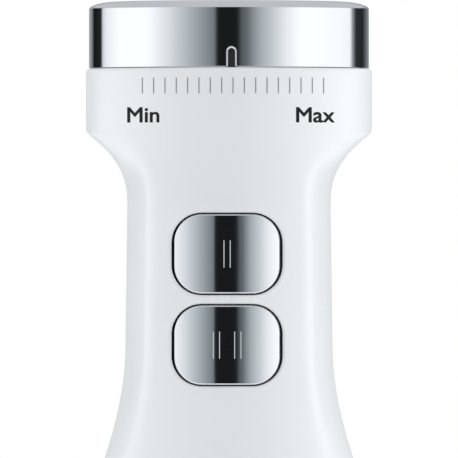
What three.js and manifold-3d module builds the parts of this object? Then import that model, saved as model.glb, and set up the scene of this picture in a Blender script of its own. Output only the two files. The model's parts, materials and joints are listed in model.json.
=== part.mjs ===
// Corded immersion blender with a detachable blending shaft. Millimetres, +Z up, front towards -Y.
// The origin is the centre of the bell's rim, so the blender stands upright on its bell.
import * as THREE from "three";
import { mergeVertices } from "three/addons/utils/BufferGeometryUtils.js";
import Module from "manifold-3d";

const wasm = await Module();
wasm.setup();

// ---------------------------------------------------------------- clearances
const seatGap = 0.3; // between pieces that touch once assembled
const runGap = 0.45; // between pieces that move past each other
const cutOver = 1; // how far a cutting tool runs past the face it cuts

// ---------------------------------------------------------------- driving dimensions
const handle = {
  length: 188, // bottom face to the top edge of the head band
  radius: 32.5, // barrel and head band
  taper: 4, // the bottom edge is this much narrower
  taperHeight: 48, // from the bottom face to the full barrel
  bandHeight: 14.6,
  wall: 2.2,
  floor: 3,
  edge: 1,
  partingY: 4, // where the front shell meets the rear one
};
const waist = {
  inset: 9.4, // how far the grip's sides lie inside the barrel
  widening: 0.45, // the grip is this much wider at its lower end
  straight: 33,
  shoulderHeight: 16.4, // from the waist up to the head band
  flareHeight: 35.2, // from the waist down to the barrel
  frontReach: 10.3, // how far the side scoop's oval reaches past the barrel's front
  frontReachLoss: 7,
  backInset: 7.5, // how far the grip's back lies inside the barrel
  ridge: 1.3, // softness of the ridge where scoop and barrel cross
};
const dial = {
  inset: 0.7, // from the head band
  height: 15.2,
  crown: 1.9, // height of the domed top above the rim
  crownInset: 6,
  wall: 1.5,
  lift: 0.35, // gap under the dial
  pointerTurn: 1.5, // degrees
};
const pointer = { width: 2.5, height: 4.8, depth: 0.8 };
const button = { width: 23.8, height: 18, corner: 6.2, proud: 0.3, gap: 0.7, travel: 1.8, wall: 1.2 };
const buttonPlace = { below: 18.4, between: 2.9 };
const mark = { width: 1.45, height: 6.2, depth: 0.25, pitch: 4.8 };
const motor = { coreShare: 0.63, shaftRadius: 2.5, endRoom: 20 };
const coil = { width: 4, neck: 8.5, overhang: 4.2 };
const armature = { share: 0.53, slots: 8, slotWidth: 2.4, slotDepth: 3.6, windingHeight: 4.2 };
const commutator = { radius: 7, height: 10 };
const bearing = { radius: 7, height: 5 };
const fan = { clearance: 3, height: 7.6, blades: 7 };
const brush = { width: 6, height: 5, length: 8, sleeve: 1.3 };
const spigot = { height: 15.5, grooveHeight: 3, grooveDepth: 2.1, grooveUp: 8.2 };
const socket = { wall: 2.6, roof: 2 };
const latchWire = 0.9;
const damperHeight = 1.8;
const release = { width: 15, height: 9, proud: 1.1, flange: 1.3, lip: 1.5, up: 11.5, room: 4.75 };
const attachment = { length: 188, collarHeight: 46 };
const bell = {
  radius: 33,
  height: 56,
  wall: 1.2,
  windowWidth: 18, // scallops in the rim, one towards each side
  windowHeight: 8.5,
  slotLength: 11,
  slotWidth: 5,
};
const tube = { radius: 12.2, topRadius: 14, wall: 1 };
const driveShaft = { radius: 3, bushRadius: 5.8, bushHeight: 10 };
const blade = { span: 50, width: 10, thickness: 1.6, bend: 4, hubRadius: 6, neckRadius: 4.8, height: 14 };
const coupling = { radius: 4.4, lobes: 6, lobeDepth: 0.8, height: 10, wall: 2.2 };
const screw = { headRadius: 2.7, radius: 1.4, headHeight: 2, bossWall: 1.9, length: 15, slot: 0.8 };
const gland = { radius: 5.2, boreRadius: 3.7, flange: 1.5, flangeRadius: 7, depth: 8 };
const board = { thickness: 1.6, width: 28, margin: 12 };
const rail = { depth: 1.5, height: 3, hold: 1.2, end: 8 };
const vent = { width: 2.4, pitch: 5 };
const springWire = 0.45;

// ---------------------------------------------------------------- sizes that follow
const innerRadius = handle.radius - handle.wall;
const bottomRadius = handle.radius - handle.taper;
const dialRadius = handle.radius - dial.inset;
const bossRadius = screw.radius + seatGap + screw.bossWall;
const motorRadius = innerRadius - 2 * bossRadius - 2 * seatGap; // leaves room for a screw boss beside it
const fanRadius = motorRadius - fan.clearance;
const armatureRadius = motorRadius * armature.share;
const spigotRadius = bottomRadius - handle.wall - release.room - socket.wall - runGap;

const handleBottom = attachment.length;
const bandTop = handleBottom + handle.length;
const waistTop = bandTop - handle.bandHeight - waist.shoulderHeight;
const waistBottom = waistTop - waist.straight;
const dialBottom = bandTop + dial.lift;
const buttonOneZ = bandTop - handle.bandHeight - buttonPlace.below - button.height / 2;
const buttonPitch = button.height + buttonPlace.between;
const buttonTwoZ = buttonOneZ - buttonPitch;
const spigotTop = handleBottom + spigot.height;
const socketTop = spigotTop + runGap + socket.roof;
const lowerRib = socketTop + seatGap;
const ribHeight = 2;
const ribRoom = 2; // from the upper bearing to the rib above it
const motorBase = lowerRib + ribHeight + damperHeight + 2 * seatGap; // underside of the lower motor bracket
const motorEnds = 2 * motor.endRoom + bearing.height + ribRoom + ribHeight;
const boardLow = buttonTwoZ - board.margin;
const coreHeight = motor.coreShare * (boardLow - motorBase - motorEnds); // the rest is wiring space
const coreLow = motorBase + motor.endRoom;
const coreHigh = coreLow + coreHeight;
const motorTop = coreHigh + motor.endRoom;
const upperRib = motorTop + bearing.height + ribRoom;

// ---------------------------------------------------------------- materials
function plain(color, roughness, metalness = 0) {
  return new THREE.MeshStandardMaterial({ color, roughness, metalness });
}
const finish = {
  whiteGloss: plain(0xe9ebec, 0.12),
  chrome: plain(0xd7dadc, 0.04, 1),
  blackPlastic: plain(0x17181a, 0.5),
  greyPlastic: plain(0x9da1a5, 0.45),
  steel: plain(0xb9bcbe, 0.28, 1),
  laminations: plain(0x55585b, 0.5, 1),
  copper: plain(0xb4693a, 0.35, 1),
  bronze: plain(0xa57b45, 0.4, 1),
  carbon: plain(0x26272a, 0.7),
  rubber: plain(0x202123, 0.85),
  circuit: plain(0x1f5a3a, 0.5),
  polyester: plain(0x2f5f9e, 0.4),
};

// ---------------------------------------------------------------- tools
// A closed geometry as a manifold-3d solid, with its faces turned outwards.
function solid(geometry) {
  const bare = geometry.index ? geometry.toNonIndexed() : geometry.clone();
  bare.deleteAttribute("normal");
  bare.deleteAttribute("uv");
  const merged = mergeVertices(bare, 1e-3);
  const corners = new Uint32Array(merged.index.array);
  const build = () =>
    new wasm.Manifold(
      new wasm.Mesh({
        numProp: 3,
        vertProperties: merged.attributes.position.array,
        triVerts: corners,
      }),
    );
  const made = build();
  if (made.volume() > 0) return made;
  for (let i = 0; i < corners.length; i += 3) {
    [corners[i + 1], corners[i + 2]] = [corners[i + 2], corners[i + 1]];
  }
  return build();
}

function geometryOf(shape) {
  const mesh = shape.getMesh();
  const geometry = new THREE.BufferGeometry();
  const points = new Float32Array(mesh.numVert * 3);
  for (let i = 0; i < mesh.numVert; i++) {
    points.set(mesh.vertProperties.subarray(i * mesh.numProp, i * mesh.numProp + 3), i * 3);
  }
  geometry.setAttribute("position", new THREE.BufferAttribute(points, 3));
  geometry.setIndex(new THREE.BufferAttribute(new Uint32Array(mesh.triVerts), 1));
  geometry.computeVertexNormals();
  return geometry;
}

// A closed outline of [radius, height] points turned about Z.
function turned(outline, segments = 24) {
  const points = [...outline, outline[0]].map(([r, z]) => new THREE.Vector2(r, z));
  return solid(new THREE.LatheGeometry(points, segments).rotateX(Math.PI / 2));
}

function ring(inner, outer, low, high, segments = 24) {
  return turned([[inner, low], [outer, low], [outer, high], [inner, high]], segments);
}

function disc(radius, low, high, segments = 24) {
  return solid(
    new THREE.CylinderGeometry(radius, radius, high - low, segments)
      .rotateX(Math.PI / 2)
      .translate(0, 0, (low + high) / 2),
  );
}

// A rod along Y or X, between two places on that axis.
function rodY(radius, from, to, x, z, segments = 16) {
  return solid(
    new THREE.CylinderGeometry(radius, radius, to - from, segments).translate(x, (from + to) / 2, z),
  );
}

function rodX(radius, from, to, y, z, segments = 16) {
  return solid(
    new THREE.CylinderGeometry(radius, radius, to - from, segments)
      .rotateZ(Math.PI / 2)
      .translate((from + to) / 2, y, z),
  );
}

function block(x0, x1, y0, y1, z0, z1) {
  return solid(
    new THREE.BoxGeometry(x1 - x0, y1 - y0, z1 - z0).translate((x0 + x1) / 2, (y0 + y1) / 2, (z0 + z1) / 2),
  );
}

// A flat outline on the XZ plane, pushed along Y between two depths.
function slabY(outline, from, to, turn = 0) {
  return solid(
    new THREE.ExtrudeGeometry(outline, { depth: to - from, bevelEnabled: false, curveSegments: 2 })
      .rotateX(Math.PI / 2)
      .translate(0, to, 0)
      .rotateZ(turn),
  );
}

// A flat outline on the XY plane, raised between two heights.
function slabZ(outline, low, high) {
  const depth = high - low;
  return solid(
    new THREE.ExtrudeGeometry(outline, { depth, bevelEnabled: false, curveSegments: 2 }).translate(0, 0, low),
  );
}

function roundedOutline(width, height, corner, centreX = 0, centreY = 0) {
  const [w, h] = [width / 2, height / 2];
  const shape = new THREE.Shape();
  shape.absarc(centreX + w - corner, centreY + h - corner, corner, 0, Math.PI / 2);
  shape.absarc(centreX - w + corner, centreY + h - corner, corner, Math.PI / 2, Math.PI);
  shape.absarc(centreX - w + corner, centreY - h + corner, corner, Math.PI, 1.5 * Math.PI);
  shape.absarc(centreX + w - corner, centreY - h + corner, corner, 1.5 * Math.PI, 2 * Math.PI);
  return shape;
}

// A coil spring about an axis, from one end plane to the other.
class Helix extends THREE.Curve {
  constructor(radius, length, turns) {
    super();
    Object.assign(this, { radius, length, turns });
  }
  getPoint(t, target = new THREE.Vector3()) {
    const a = 2 * Math.PI * this.turns * t;
    return target.set(this.radius * Math.cos(a), this.radius * Math.sin(a), this.length * t);
  }
}

function coilSpring(radius, length, turns, wire) {
  const section = new THREE.Shape().absarc(0, 0, wire, 0, 2 * Math.PI);
  return new THREE.ExtrudeGeometry(section, {
    steps: turns * 8,
    curveSegments: 2,
    bevelEnabled: false,
    extrudePath: new Helix(radius, length - 2 * wire, turns),
  }).translate(0, 0, wire);
}

const smoothMin = (a, b, soft) => {
  const near = Math.max(soft - Math.abs(a - b), 0) / soft;
  return Math.min(a, b) - (near * near * soft) / 4;
};

// ---------------------------------------------------------------- casing shape
// 0 at the waist, 1 where the scoop runs out into the barrel, and more beyond.
function scoopGrowth(z) {
  if (z > waistTop) return ((z - waistTop) / waist.shoulderHeight) ** 2.4;
  if (z < waistBottom) return ((waistBottom - z) / waist.flareHeight) ** 1.75;
  return 0;
}

function barrelRadius(z) {
  const taper = Math.min((z - handleBottom) / handle.taperHeight, 1);
  const eased = taper * (2 - taper);
  const radius = bottomRadius + (handle.radius - bottomRadius) * eased;
  const intoEdge = Math.min(Math.max(z - bandTop + handle.edge, 0), handle.edge);
  return radius - handle.edge + Math.sqrt(handle.edge ** 2 - intoEdge ** 2);
}

// Radius of the outside at a direction (unit x and y) and a height.
function casingRadius(x, y, z) {
  const growth = scoopGrowth(z);
  const down = Math.min(Math.max((waistTop - z) / waist.straight, 0), 1);
  const slimmest = handle.radius - waist.inset + waist.widening * down;
  const half = slimmest + (handle.radius - slimmest) * growth;
  const reach =
    y < 0
      ? handle.radius + waist.frontReach - waist.frontReachLoss * Math.min(growth, 1)
      : handle.radius - waist.backInset * (1 - growth);
  const fullness = y < 0 ? 2 : 2.3;
  const oval = (Math.abs(x / half) ** fullness + Math.abs(y / reach) ** fullness) ** (-1 / fullness);
  return smoothMin(barrelRadius(z), oval, waist.ridge);
}

function casingLevels(low, high) {
  const levels = [low];
  const add = (from, to, steps, bias = 1) => {
    for (let i = 1; i <= steps; i++) levels.push(from + (to - from) * (i / steps) ** bias);
  };
  add(low, handleBottom + handle.taperHeight, 3);
  levels.push(waistBottom - 1.1 * waist.flareHeight);
  add(levels.at(-1), waistBottom, 5, 0.8);
  add(waistBottom, waistTop, 1);
  add(waistTop, waistTop + 1.08 * waist.shoulderHeight, 4, 0.7);
  add(levels.at(-1), bandTop - handle.edge, 1);
  if (high > bandTop) levels.push(high);
  else add(bandTop - handle.edge, high, 2);
  return levels;
}

// The casing's solid shape, set in from the outside by a wall.
function casingSolid(inset, low, high, segments) {
  const levels = casingLevels(low, high);
  const outline = [[0, low], ...levels.map((z) => [1, z]), [0, high]];
  const geometry = new THREE.LatheGeometry(
    outline.map(([r, z]) => new THREE.Vector2(r, z)),
    segments,
  ).rotateX(Math.PI / 2);
  const place = geometry.attributes.position;
  for (let i = 0; i < place.count; i++) {
    const [x, y, z] = [place.getX(i), place.getY(i), place.getZ(i)];
    const out = Math.hypot(x, y);
    if (out < 0.5) continue;
    const level = inset ? Math.min(z, bandTop - handle.edge) : Math.min(z, bandTop);
    const radius = casingRadius(x / out, y / out, level) - inset;
    place.setXY(i, (x / out) * radius, (y / out) * radius);
  }
  return solid(geometry);
}

// ---------------------------------------------------------------- assembly
const blender = new THREE.Group();

function put(name, shape, material) {
  const geometry = shape.isBufferGeometry ? shape : geometryOf(shape);
  const mesh = new THREE.Mesh(geometry, material);
  mesh.name = name;
  blender.add(mesh);
}

function joined(shapes) {
  return shapes.reduce((whole, shape) => whole.add(shape));
}

function cutAway(shape, cuts) {
  return cuts.reduce((left, cut) => left.subtract(cut), shape);
}

// Left and right pairs, with the way each one points along X.
const sides = [["left", -1], ["right", 1]];

// The low and the high end of a stretch of X on one side.
function span(side, near, far) {
  return [Math.min(side * near, side * far), Math.max(side * near, side * far)];
}

const quarters = [0, 1, 2, 3].map((i) => (i * Math.PI) / 2);

// ---- casing shells, with their ribs, rails, screw bosses and openings
const lowerBossX = motorRadius + seatGap + bossRadius;
const upperBossX = innerRadius - bossRadius - 2;
const bossPlaces = [-1, 1].flatMap((side) => [
  [side * lowerBossX, coreLow + 7],
  [side * upperBossX, bandTop - handle.bandHeight / 2 - 1],
]);
const bossFront = handle.partingY - 14;
const screwSeat = handle.partingY + 5;
const seatTop = bandTop - 2.2; // upper face of the ledge that the dial seat rests on
const socketInner = spigotRadius + runGap;
const socketOuter = socketInner + socket.wall;
const bearingWall = bearing.radius + seatGap + 2;
const releaseZ = handleBottom + release.up;
const glandZ = bandTop - handle.bandHeight / 2 - 2.2;
const glandFace = handle.radius + 0.4;
const glandStep = glandFace - gland.flange - seatGap;
const capHalf = button.width / 2;
const bezel = { outer: innerRadius - 4 * seatGap, thickness: 1.5, margin: 1.3 };
const bezelInner = bezel.outer - bezel.thickness;
const flangeThickness = 1.2;
const flangeLip = 1.2;
const flangeFront = seatGap - Math.sqrt(bezelInner ** 2 - (capHalf + flangeLip) ** 2);
const flangeBack = flangeFront + flangeThickness;
const carrierY = flangeBack + button.travel + 0.6; // front of the plate behind the buttons
const carrierThickness = 1.5;
const carrierHalf = capHalf + 3.1;
const switchY = carrierY + carrierThickness + 3.1;
const switchDepth = 7.4;
const boardY = switchY + switchDepth + seatGap;

function buttonOutline(z, grow = 0) {
  return roundedOutline(button.width + 2 * grow, button.height + 2 * grow, button.corner + grow, 0, z);
}

function ventSlots(count, low, high) {
  const slots = [];
  for (let i = 0; i < count; i++) {
    const x = (i - (count - 1) / 2) * vent.pitch;
    const half = vent.width / 2;
    slots.push(block(x - half, x + half, handle.partingY + 8, handle.radius + cutOver, low, high));
  }
  return slots;
}

// Rails that hold an upright plate by its edges.
function rails(halfWidth, face, thickness) {
  const made = [];
  const half = rail.height / 2;
  for (const [, side] of sides) {
    for (const z of [buttonTwoZ - rail.end, buttonOneZ + rail.end]) {
      for (const near of [face - seatGap - rail.depth, face + thickness + seatGap]) {
        const across = span(side, halfWidth - rail.hold, handle.radius);
        made.push(block(...across, near, near + rail.depth, z - half, z + half));
      }
    }
  }
  return made;
}

function casingShell() {
  const outside = casingSolid(0, handleBottom, bandTop, 36);
  const inside = casingSolid(handle.wall, handleBottom + handle.floor, bandTop + cutOver, 20);
  const inner = [
    ring(motorRadius - 6, handle.radius, lowerRib, lowerRib + ribHeight, 14),
    ring(bearingWall + seatGap, handle.radius, upperRib, upperRib + ribHeight, 14),
    ring(innerRadius - 2.4, handle.radius - 0.5, seatTop - 1.6, seatTop, 20),
    ...rails(carrierHalf, carrierY, carrierThickness),
    ...rails(board.width / 2, boardY, board.thickness),
  ];
  for (const [x, z] of bossPlaces) {
    const web = span(Math.sign(x), Math.abs(x), handle.radius);
    inner.push(rodY(bossRadius, bossFront, handle.radius, x, z, 14));
    inner.push(block(...web, bossFront, handle.radius, z - 1, z + 1));
  }
  const whole = outside.subtract(inside).add(joined(inner).intersect(outside));
  const cuts = [
    disc(socketOuter + seatGap, handleBottom - cutOver, handleBottom + handle.floor + 0.01, 36),
    slabY(buttonOutline(buttonOneZ, button.gap), -handle.radius - cutOver, flangeFront),
    slabY(buttonOutline(buttonTwoZ, button.gap), -handle.radius - cutOver, flangeFront),
    rodY(gland.radius + seatGap, handle.partingY + 10, handle.radius + cutOver, 0, glandZ, 16),
    rodY(gland.flangeRadius + seatGap, glandStep, handle.radius + cutOver, 0, glandZ, 18),
    ...ventSlots(7, motorBase + 4, motorBase + motor.endRoom - 3),
    ...ventSlots(5, waistTop + 2, waistTop + 9),
  ];
  for (const [, side] of sides) {
    const [y, z] = [release.width / 2 + runGap, release.height / 2 + runGap];
    const across = span(side, innerRadius - 8, handle.radius + cutOver);
    cuts.push(block(...across, -y, y, releaseZ - z, releaseZ + z));
  }
  for (const [x, z] of bossPlaces) {
    cuts.push(rodY(screw.radius + seatGap, bossFront + 2, screwSeat + cutOver, x, z, 12));
    cuts.push(rodY(screw.headRadius + seatGap, screwSeat, handle.radius, x, z, 14));
  }
  return cutAway(whole, cuts);
}

const shell = casingShell();
const wide = 2 * handle.radius;
const below = handleBottom - cutOver;
const above = bandTop + cutOver;
put(
  "front_housing",
  shell.intersect(block(-wide, wide, -wide, handle.partingY - seatGap / 2, below, above)),
  finish.whiteGloss,
);
put(
  "rear_housing",
  shell.intersect(block(-wide, wide, handle.partingY + seatGap / 2, wide, below, above)),
  finish.whiteGloss,
);
bossPlaces.forEach(([x, z], i) => {
  const seat = screwSeat + seatGap;
  const headTop = seat + screw.headHeight;
  const [narrow, long] = [screw.slot / 2, screw.headRadius - 1];
  const head = rodY(screw.headRadius, seat, headTop, x, z, 12);
  const shank = rodY(screw.radius, seat - screw.length, seat + 0.1, x, z, 10);
  const cross = [[narrow, long], [long, narrow]].map(([u, v]) =>
    block(x - u, x + u, headTop - screw.headHeight / 2, headTop + cutOver, z - v, z + v),
  );
  put(`housing_screw_${i + 1}`, cutAway(head.add(shank), cross), finish.steel);
});

// ---- cord gland, open for the mains lead
const glandWhole = joined([
  rodY(gland.flangeRadius, glandStep + seatGap, glandFace, 0, glandZ, 18),
  rodY(gland.radius, glandFace - gland.depth, glandFace, 0, glandZ, 16),
]);
const boreFront = glandFace - gland.depth - cutOver;
const glandBore = rodY(gland.boreRadius, boreFront, glandFace + cutOver, 0, glandZ, 16);
put("cord_gland", glandWhole.subtract(glandBore), finish.rubber);

// ---- speed dial: cover, carrier, seat and potentiometer
const dialTop = dialBottom + dial.height;
const coverOutline = [[dialRadius, dialBottom]];
const rimSteps = 3;
for (let i = 0; i <= rimSteps; i++) {
  const a = (i / rimSteps) * (Math.PI / 2);
  coverOutline.push([
    dialRadius - dial.crownInset * (1 - Math.cos(a)),
    dialTop - dial.crown + dial.crown * 0.9 * Math.sin(a),
  ]);
}
const coverRoof = dialTop - dial.crown - dial.wall + 0.9; // inner face of the cover's roof
const coverInner = dialRadius - dial.wall;
coverOutline.push(
  [0, dialTop],
  [0, coverRoof],
  [coverInner - 4, coverRoof],
  [coverInner, coverRoof - 2],
  [coverInner, dialBottom],
);
const pointerOutline = new THREE.Shape();
pointerOutline.moveTo(-pointer.width / 2, dialBottom - cutOver);
pointerOutline.lineTo(pointer.width / 2, dialBottom - cutOver);
pointerOutline.absarc(0, dialBottom + pointer.height - pointer.width / 2, pointer.width / 2, 0, Math.PI);
const pointerCut = slabY(
  pointerOutline,
  -dialRadius - cutOver,
  -dialRadius + pointer.depth,
  THREE.MathUtils.degToRad(dial.pointerTurn),
);
put("dial_cover", turned(coverOutline, 36).subtract(pointerCut), finish.chrome);

const dialShaft = { radius: 3, hub: 7.15, top: coverRoof - 4, low: seatTop - 10 };
const seatLow = seatTop + seatGap;
const carrierTop = coverRoof - seatGap - 2;
const carrierRim = coverInner - seatGap;
put(
  "dial_carrier",
  turned(
    [
      [dialShaft.radius + seatGap, seatLow + 0.3],
      [dialShaft.hub, seatLow + 0.3],
      [dialShaft.hub, carrierTop - 1.8],
      [carrierRim - 1.8, carrierTop - 1.8],
      [carrierRim - 1.8, dialBottom + 1.4],
      [carrierRim, dialBottom + 1.4],
      [carrierRim, carrierTop - 0.6],
      [carrierRim - 1, carrierTop],
      [dialShaft.radius + seatGap, carrierTop],
    ],
    20,
  ),
  finish.greyPlastic,
);
put("potentiometer_shaft", disc(dialShaft.radius, dialShaft.low, dialShaft.top, 18), finish.steel);

const seatTube = dialShaft.hub + runGap;
const wellFloor = seatLow - 4.7;
put(
  "dial_seat",
  turned(
    [
      [4.8, wellFloor],
      [seatTube + 3.6, wellFloor],
      [seatTube + 3.6, seatLow],
      [innerRadius - seatGap, seatLow],
      [innerRadius - seatGap, seatLow + 1.7],
      [seatTube + 2, seatLow + 1.7],
      [seatTube + 2, seatLow + 5],
      [seatTube, seatLow + 5],
      [seatTube, wellFloor + 1.8],
      [4.8, wellFloor + 1.8],
    ],
    20,
  ),
  finish.blackPlastic,
);
const potBody = { radius: 8, height: 6.5, bushing: 4.5, top: wellFloor - seatGap };
const potBore = dialShaft.radius + runGap;
put(
  "potentiometer",
  joined([
    ring(potBore, potBody.radius, potBody.top - potBody.height, potBody.top, 18),
    ring(potBore, potBody.bushing, potBody.top - 0.1, potBody.top + 4.1, 14),
    ...[-1, 0, 1].map((i) => block(5 * i - 1, 5 * i + 1, 5, 13, potBody.top - 5.6, potBody.top - 4.6)),
  ]),
  finish.circuit,
);

// ---- button bezel behind the front wall
const bezelHalf = capHalf + button.gap + bezel.margin;
const bezelReach = button.height / 2 + button.gap + bezel.margin;
const [bezelLow, bezelHigh] = [buttonTwoZ - bezelReach, buttonOneZ + bezelReach];
const bezelRing = ring(bezelInner, bezel.outer, bezelLow, bezelHigh, 40);
put(
  "button_bezel",
  cutAway(
    bezelRing.intersect(block(-bezelHalf, bezelHalf, -wide, 0, below, above)),
    [
      slabY(buttonOutline(buttonOneZ, runGap), -wide, 0),
      slabY(buttonOutline(buttonTwoZ, runGap), -wide, 0),
    ],
  ),
  finish.blackPlastic,
);

// ---- push buttons, their stems, springs and switches
const capFace = handle.radius + button.proud;
const capWall = 1.6;
const switchBody = { halfWidth: 6.4, halfHeight: 4 };
const stemPlate = { thickness: 1.5, set: 0.8, inset: button.wall + seatGap };
const plateFront = stemPlate.set - Math.sqrt((capFace - capWall) ** 2 - (capHalf - stemPlate.inset) ** 2);
const plateY = plateFront + stemPlate.thickness;
const post = { radius: 2.2, tip: switchY - 0.4 };
for (const [name, z, bars] of [["one", buttonOneZ, 1], ["two", buttonTwoZ, 2]]) {
  const capSlab = slabY(buttonOutline(z), -capFace - cutOver, flangeBack);
  const cap = capSlab.intersect(disc(capFace, below, above, 48));
  const flange = slabY(buttonOutline(z, flangeLip), flangeFront, flangeBack);
  const hollow = slabY(buttonOutline(z, -button.wall), -capFace, flangeBack + cutOver);
  const cuts = [hollow.intersect(disc(capFace - capWall, below, above, 32))];
  for (let i = 0; i < bars; i++) {
    const x = (i - (bars - 1) / 2) * mark.pitch;
    const [u, v] = [mark.width / 2, mark.height / 2];
    const bar = block(x - u, x + u, -capFace - cutOver, 0, z - v, z + v);
    cuts.push(bar.intersect(ring(capFace - mark.depth, capFace + cutOver, below, above, 48)));
  }
  put(`button_${name}`, cutAway(cap.add(flange), cuts), finish.chrome);

  const plate = slabY(buttonOutline(z, -stemPlate.inset), plateFront, plateY);
  const stem = rodY(post.radius, plateY - 0.1, post.tip, 0, z, 16);
  put(`button_${name}_stem`, plate.add(stem), finish.blackPlastic);

  const springFront = plateY + seatGap;
  const spring = coilSpring(4, carrierY - seatGap - springFront, 3, springWire);
  put(`button_spring_${name}`, spring.rotateX(-Math.PI / 2).translate(0, springFront, z), finish.steel);

  const [u, v] = [switchBody.halfWidth, switchBody.halfHeight];
  const body = block(-u, u, switchY, switchY + switchDepth, z - v, z + v);
  put(
    `microswitch_${name}`,
    body.subtract(rodY(post.radius + runGap, switchY - cutOver, switchY + 2.4, 0, z, 16)),
    finish.blackPlastic,
  );
}
const carrierCollar = 3.2;
const plateMiddle = (buttonOneZ + buttonTwoZ) / 2;
const plateHeight = buttonPitch + 20;
const plateOutline = roundedOutline(2 * carrierHalf, plateHeight, 3, 0, plateMiddle);
put(
  "switch_carrier",
  cutAway(
    joined([
      slabY(plateOutline, carrierY, carrierY + carrierThickness),
      ...[buttonOneZ, buttonTwoZ].map((z) => rodY(carrierCollar, carrierY - 0.9, carrierY + 0.1, 0, z, 16)),
    ]),
    [buttonOneZ, buttonTwoZ].map((z) => rodY(post.radius + runGap, carrierY - 2, carrierY + 3, 0, z, 16)),
  ),
  finish.blackPlastic,
);

// ---- control electronics
const boardBack = boardY + board.thickness + seatGap;
put(
  "control_board",
  block(
    -board.width / 2,
    board.width / 2,
    boardY,
    boardY + board.thickness,
    boardLow,
    buttonOneZ + board.margin,
  ),
  finish.circuit,
);
const heatsink = { base: 1.5, depth: 11, pitch: 5.4, finHalf: 0.6 };
const [heatsinkLow, heatsinkHigh] = [buttonTwoZ - 10, buttonTwoZ + 6];
const heatsinkHalf = 2 * heatsink.pitch + 0.8;
const fins = [-2, -1, 0, 1, 2].map((i) => {
  const x = i * heatsink.pitch;
  const [near, far] = [boardBack + heatsink.base - 0.1, boardBack + heatsink.depth];
  return block(x - heatsink.finHalf, x + heatsink.finHalf, near, far, heatsinkLow, heatsinkHigh);
});
const heatsinkBase = block(
  -heatsinkHalf,
  heatsinkHalf,
  boardBack,
  boardBack + heatsink.base,
  heatsinkLow,
  heatsinkHigh,
);
put("triac_heatsink", joined([heatsinkBase, ...fins]), finish.steel);
const capacitor = { width: 18, height: 15, depth: 9 };
put(
  "suppression_capacitor",
  slabY(
    roundedOutline(capacitor.width, capacitor.height, 2, 0, buttonOneZ),
    boardBack,
    boardBack + capacitor.depth,
  ),
  finish.polyester,
);

// ---- motor: brackets, field, armature, brushes and fan
// A plate with a bearing cup on its upper face and four posts that reach towards the field core.
function bracket(low, postFrom, postTo) {
  const plate = turned(
    [
      [motor.shaftRadius + 1.5, low],
      [motorRadius, low],
      [motorRadius, low + 2],
      [bearingWall, low + 2],
      [bearingWall, low + 1.5 + bearing.height],
      [bearing.radius + seatGap, low + 1.5 + bearing.height],
      [bearing.radius + seatGap, low + 1.2],
      [motor.shaftRadius + 1.5, low + 1.2],
    ],
    18,
  );
  const rim = ring(fanRadius + 0.8, motorRadius, postFrom, postTo, 18);
  const post = new THREE.BoxGeometry(16, 7, 99).translate(motorRadius, 0, (postFrom + postTo) / 2);
  const posts = quarters.map((turn) =>
    rim.intersect(solid(post.clone().rotateZ(turn + Math.PI / 4))),
  );
  const hole = new THREE.CylinderGeometry(3.4, 3.4, 6, 8)
    .rotateX(Math.PI / 2)
    .translate((bearingWall + motorRadius) / 2, 0, low + 1);
  const holes = quarters.map((turn) => solid(hole.clone().rotateZ(turn)));
  return cutAway(joined([plate, ...posts]), holes);
}
put("lower_motor_bracket", bracket(motorBase, motorBase + 1.9, coreLow - seatGap), finish.blackPlastic);
put("upper_motor_bracket", bracket(motorTop, coreHigh + seatGap, motorTop + 0.1), finish.blackPlastic);
put(
  "motor_damper",
  ring(motorRadius - 5.5, motorRadius, motorBase - seatGap - damperHeight, motorBase - seatGap, 24),
  finish.rubber,
);
const bearingBore = motor.shaftRadius + seatGap;
for (const [name, low] of [["lower", motorBase + 1.5], ["upper", motorTop + 1.5]]) {
  put(`${name}_bearing`, ring(bearingBore, bearing.radius, low, low + bearing.height, 18), finish.steel);
}

const poleInner = armatureRadius + 0.6;
const shoeOuter = poleInner + 2.1;
const yokeInner = motorRadius - 4;
const core = [ring(yokeInner, motorRadius, coreLow, coreHigh, 28)];
const shoes = ring(poleInner, shoeOuter, coreLow, coreHigh, 28);
for (const [, side] of sides) {
  const neck = span(side, poleInner + 1, yokeInner + 1);
  core.push(block(...neck, -coil.neck / 2, coil.neck / 2, coreLow, coreHigh));
  const reach = span(side, poleInner / 2, motorRadius);
  core.push(shoes.intersect(block(...reach, -wide, wide, coreLow, coreHigh)));
}
put("field_core", joined(core), finish.laminations);
for (const [name, side] of sides) {
  const [near, far] = span(side, 0, motorRadius);
  const outerY = coil.neck / 2 + coil.width;
  const innerY = coil.neck / 2 + seatGap;
  const [low, high] = [coreLow - coil.overhang, coreHigh + coil.overhang];
  const bundle = ring(shoeOuter + seatGap, yokeInner - seatGap, low, high, 28);
  put(
    `field_coil_${name}`,
    bundle
      .intersect(block(near, far, -outerY, outerY, low, high))
      .subtract(block(near - 1, far + 1, -innerY, innerY, coreLow - seatGap, coreHigh + seatGap)),
    finish.copper,
  );
}

// A disc's outline with straight slots cut into its edge.
function slottedOutline(radius, count, width, depth) {
  const shape = new THREE.Shape();
  const half = Math.asin(width / 2 / radius);
  const pitch = (2 * Math.PI) / count;
  for (let i = 0; i < count; i++) {
    const slot = i * pitch;
    const turn = (along, across) => [
      along * Math.cos(slot) - across * Math.sin(slot),
      along * Math.sin(slot) + across * Math.cos(slot),
    ];
    const floor = radius - depth;
    if (i === 0) shape.moveTo(...turn(floor, -width / 2));
    else shape.lineTo(...turn(floor, -width / 2));
    shape.lineTo(...turn(floor, width / 2));
    shape.absarc(0, 0, radius, slot + half, slot + pitch - half);
  }
  return shape;
}
const rotorBore = disc(bearingBore, below, above, 14);
const windingGap = 0.3;
const windingLow = coreLow - windingGap - armature.windingHeight;
const windingHigh = coreHigh + windingGap + armature.windingHeight;
const slotOutline = slottedOutline(armatureRadius, armature.slots, armature.slotWidth, armature.slotDepth);
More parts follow.
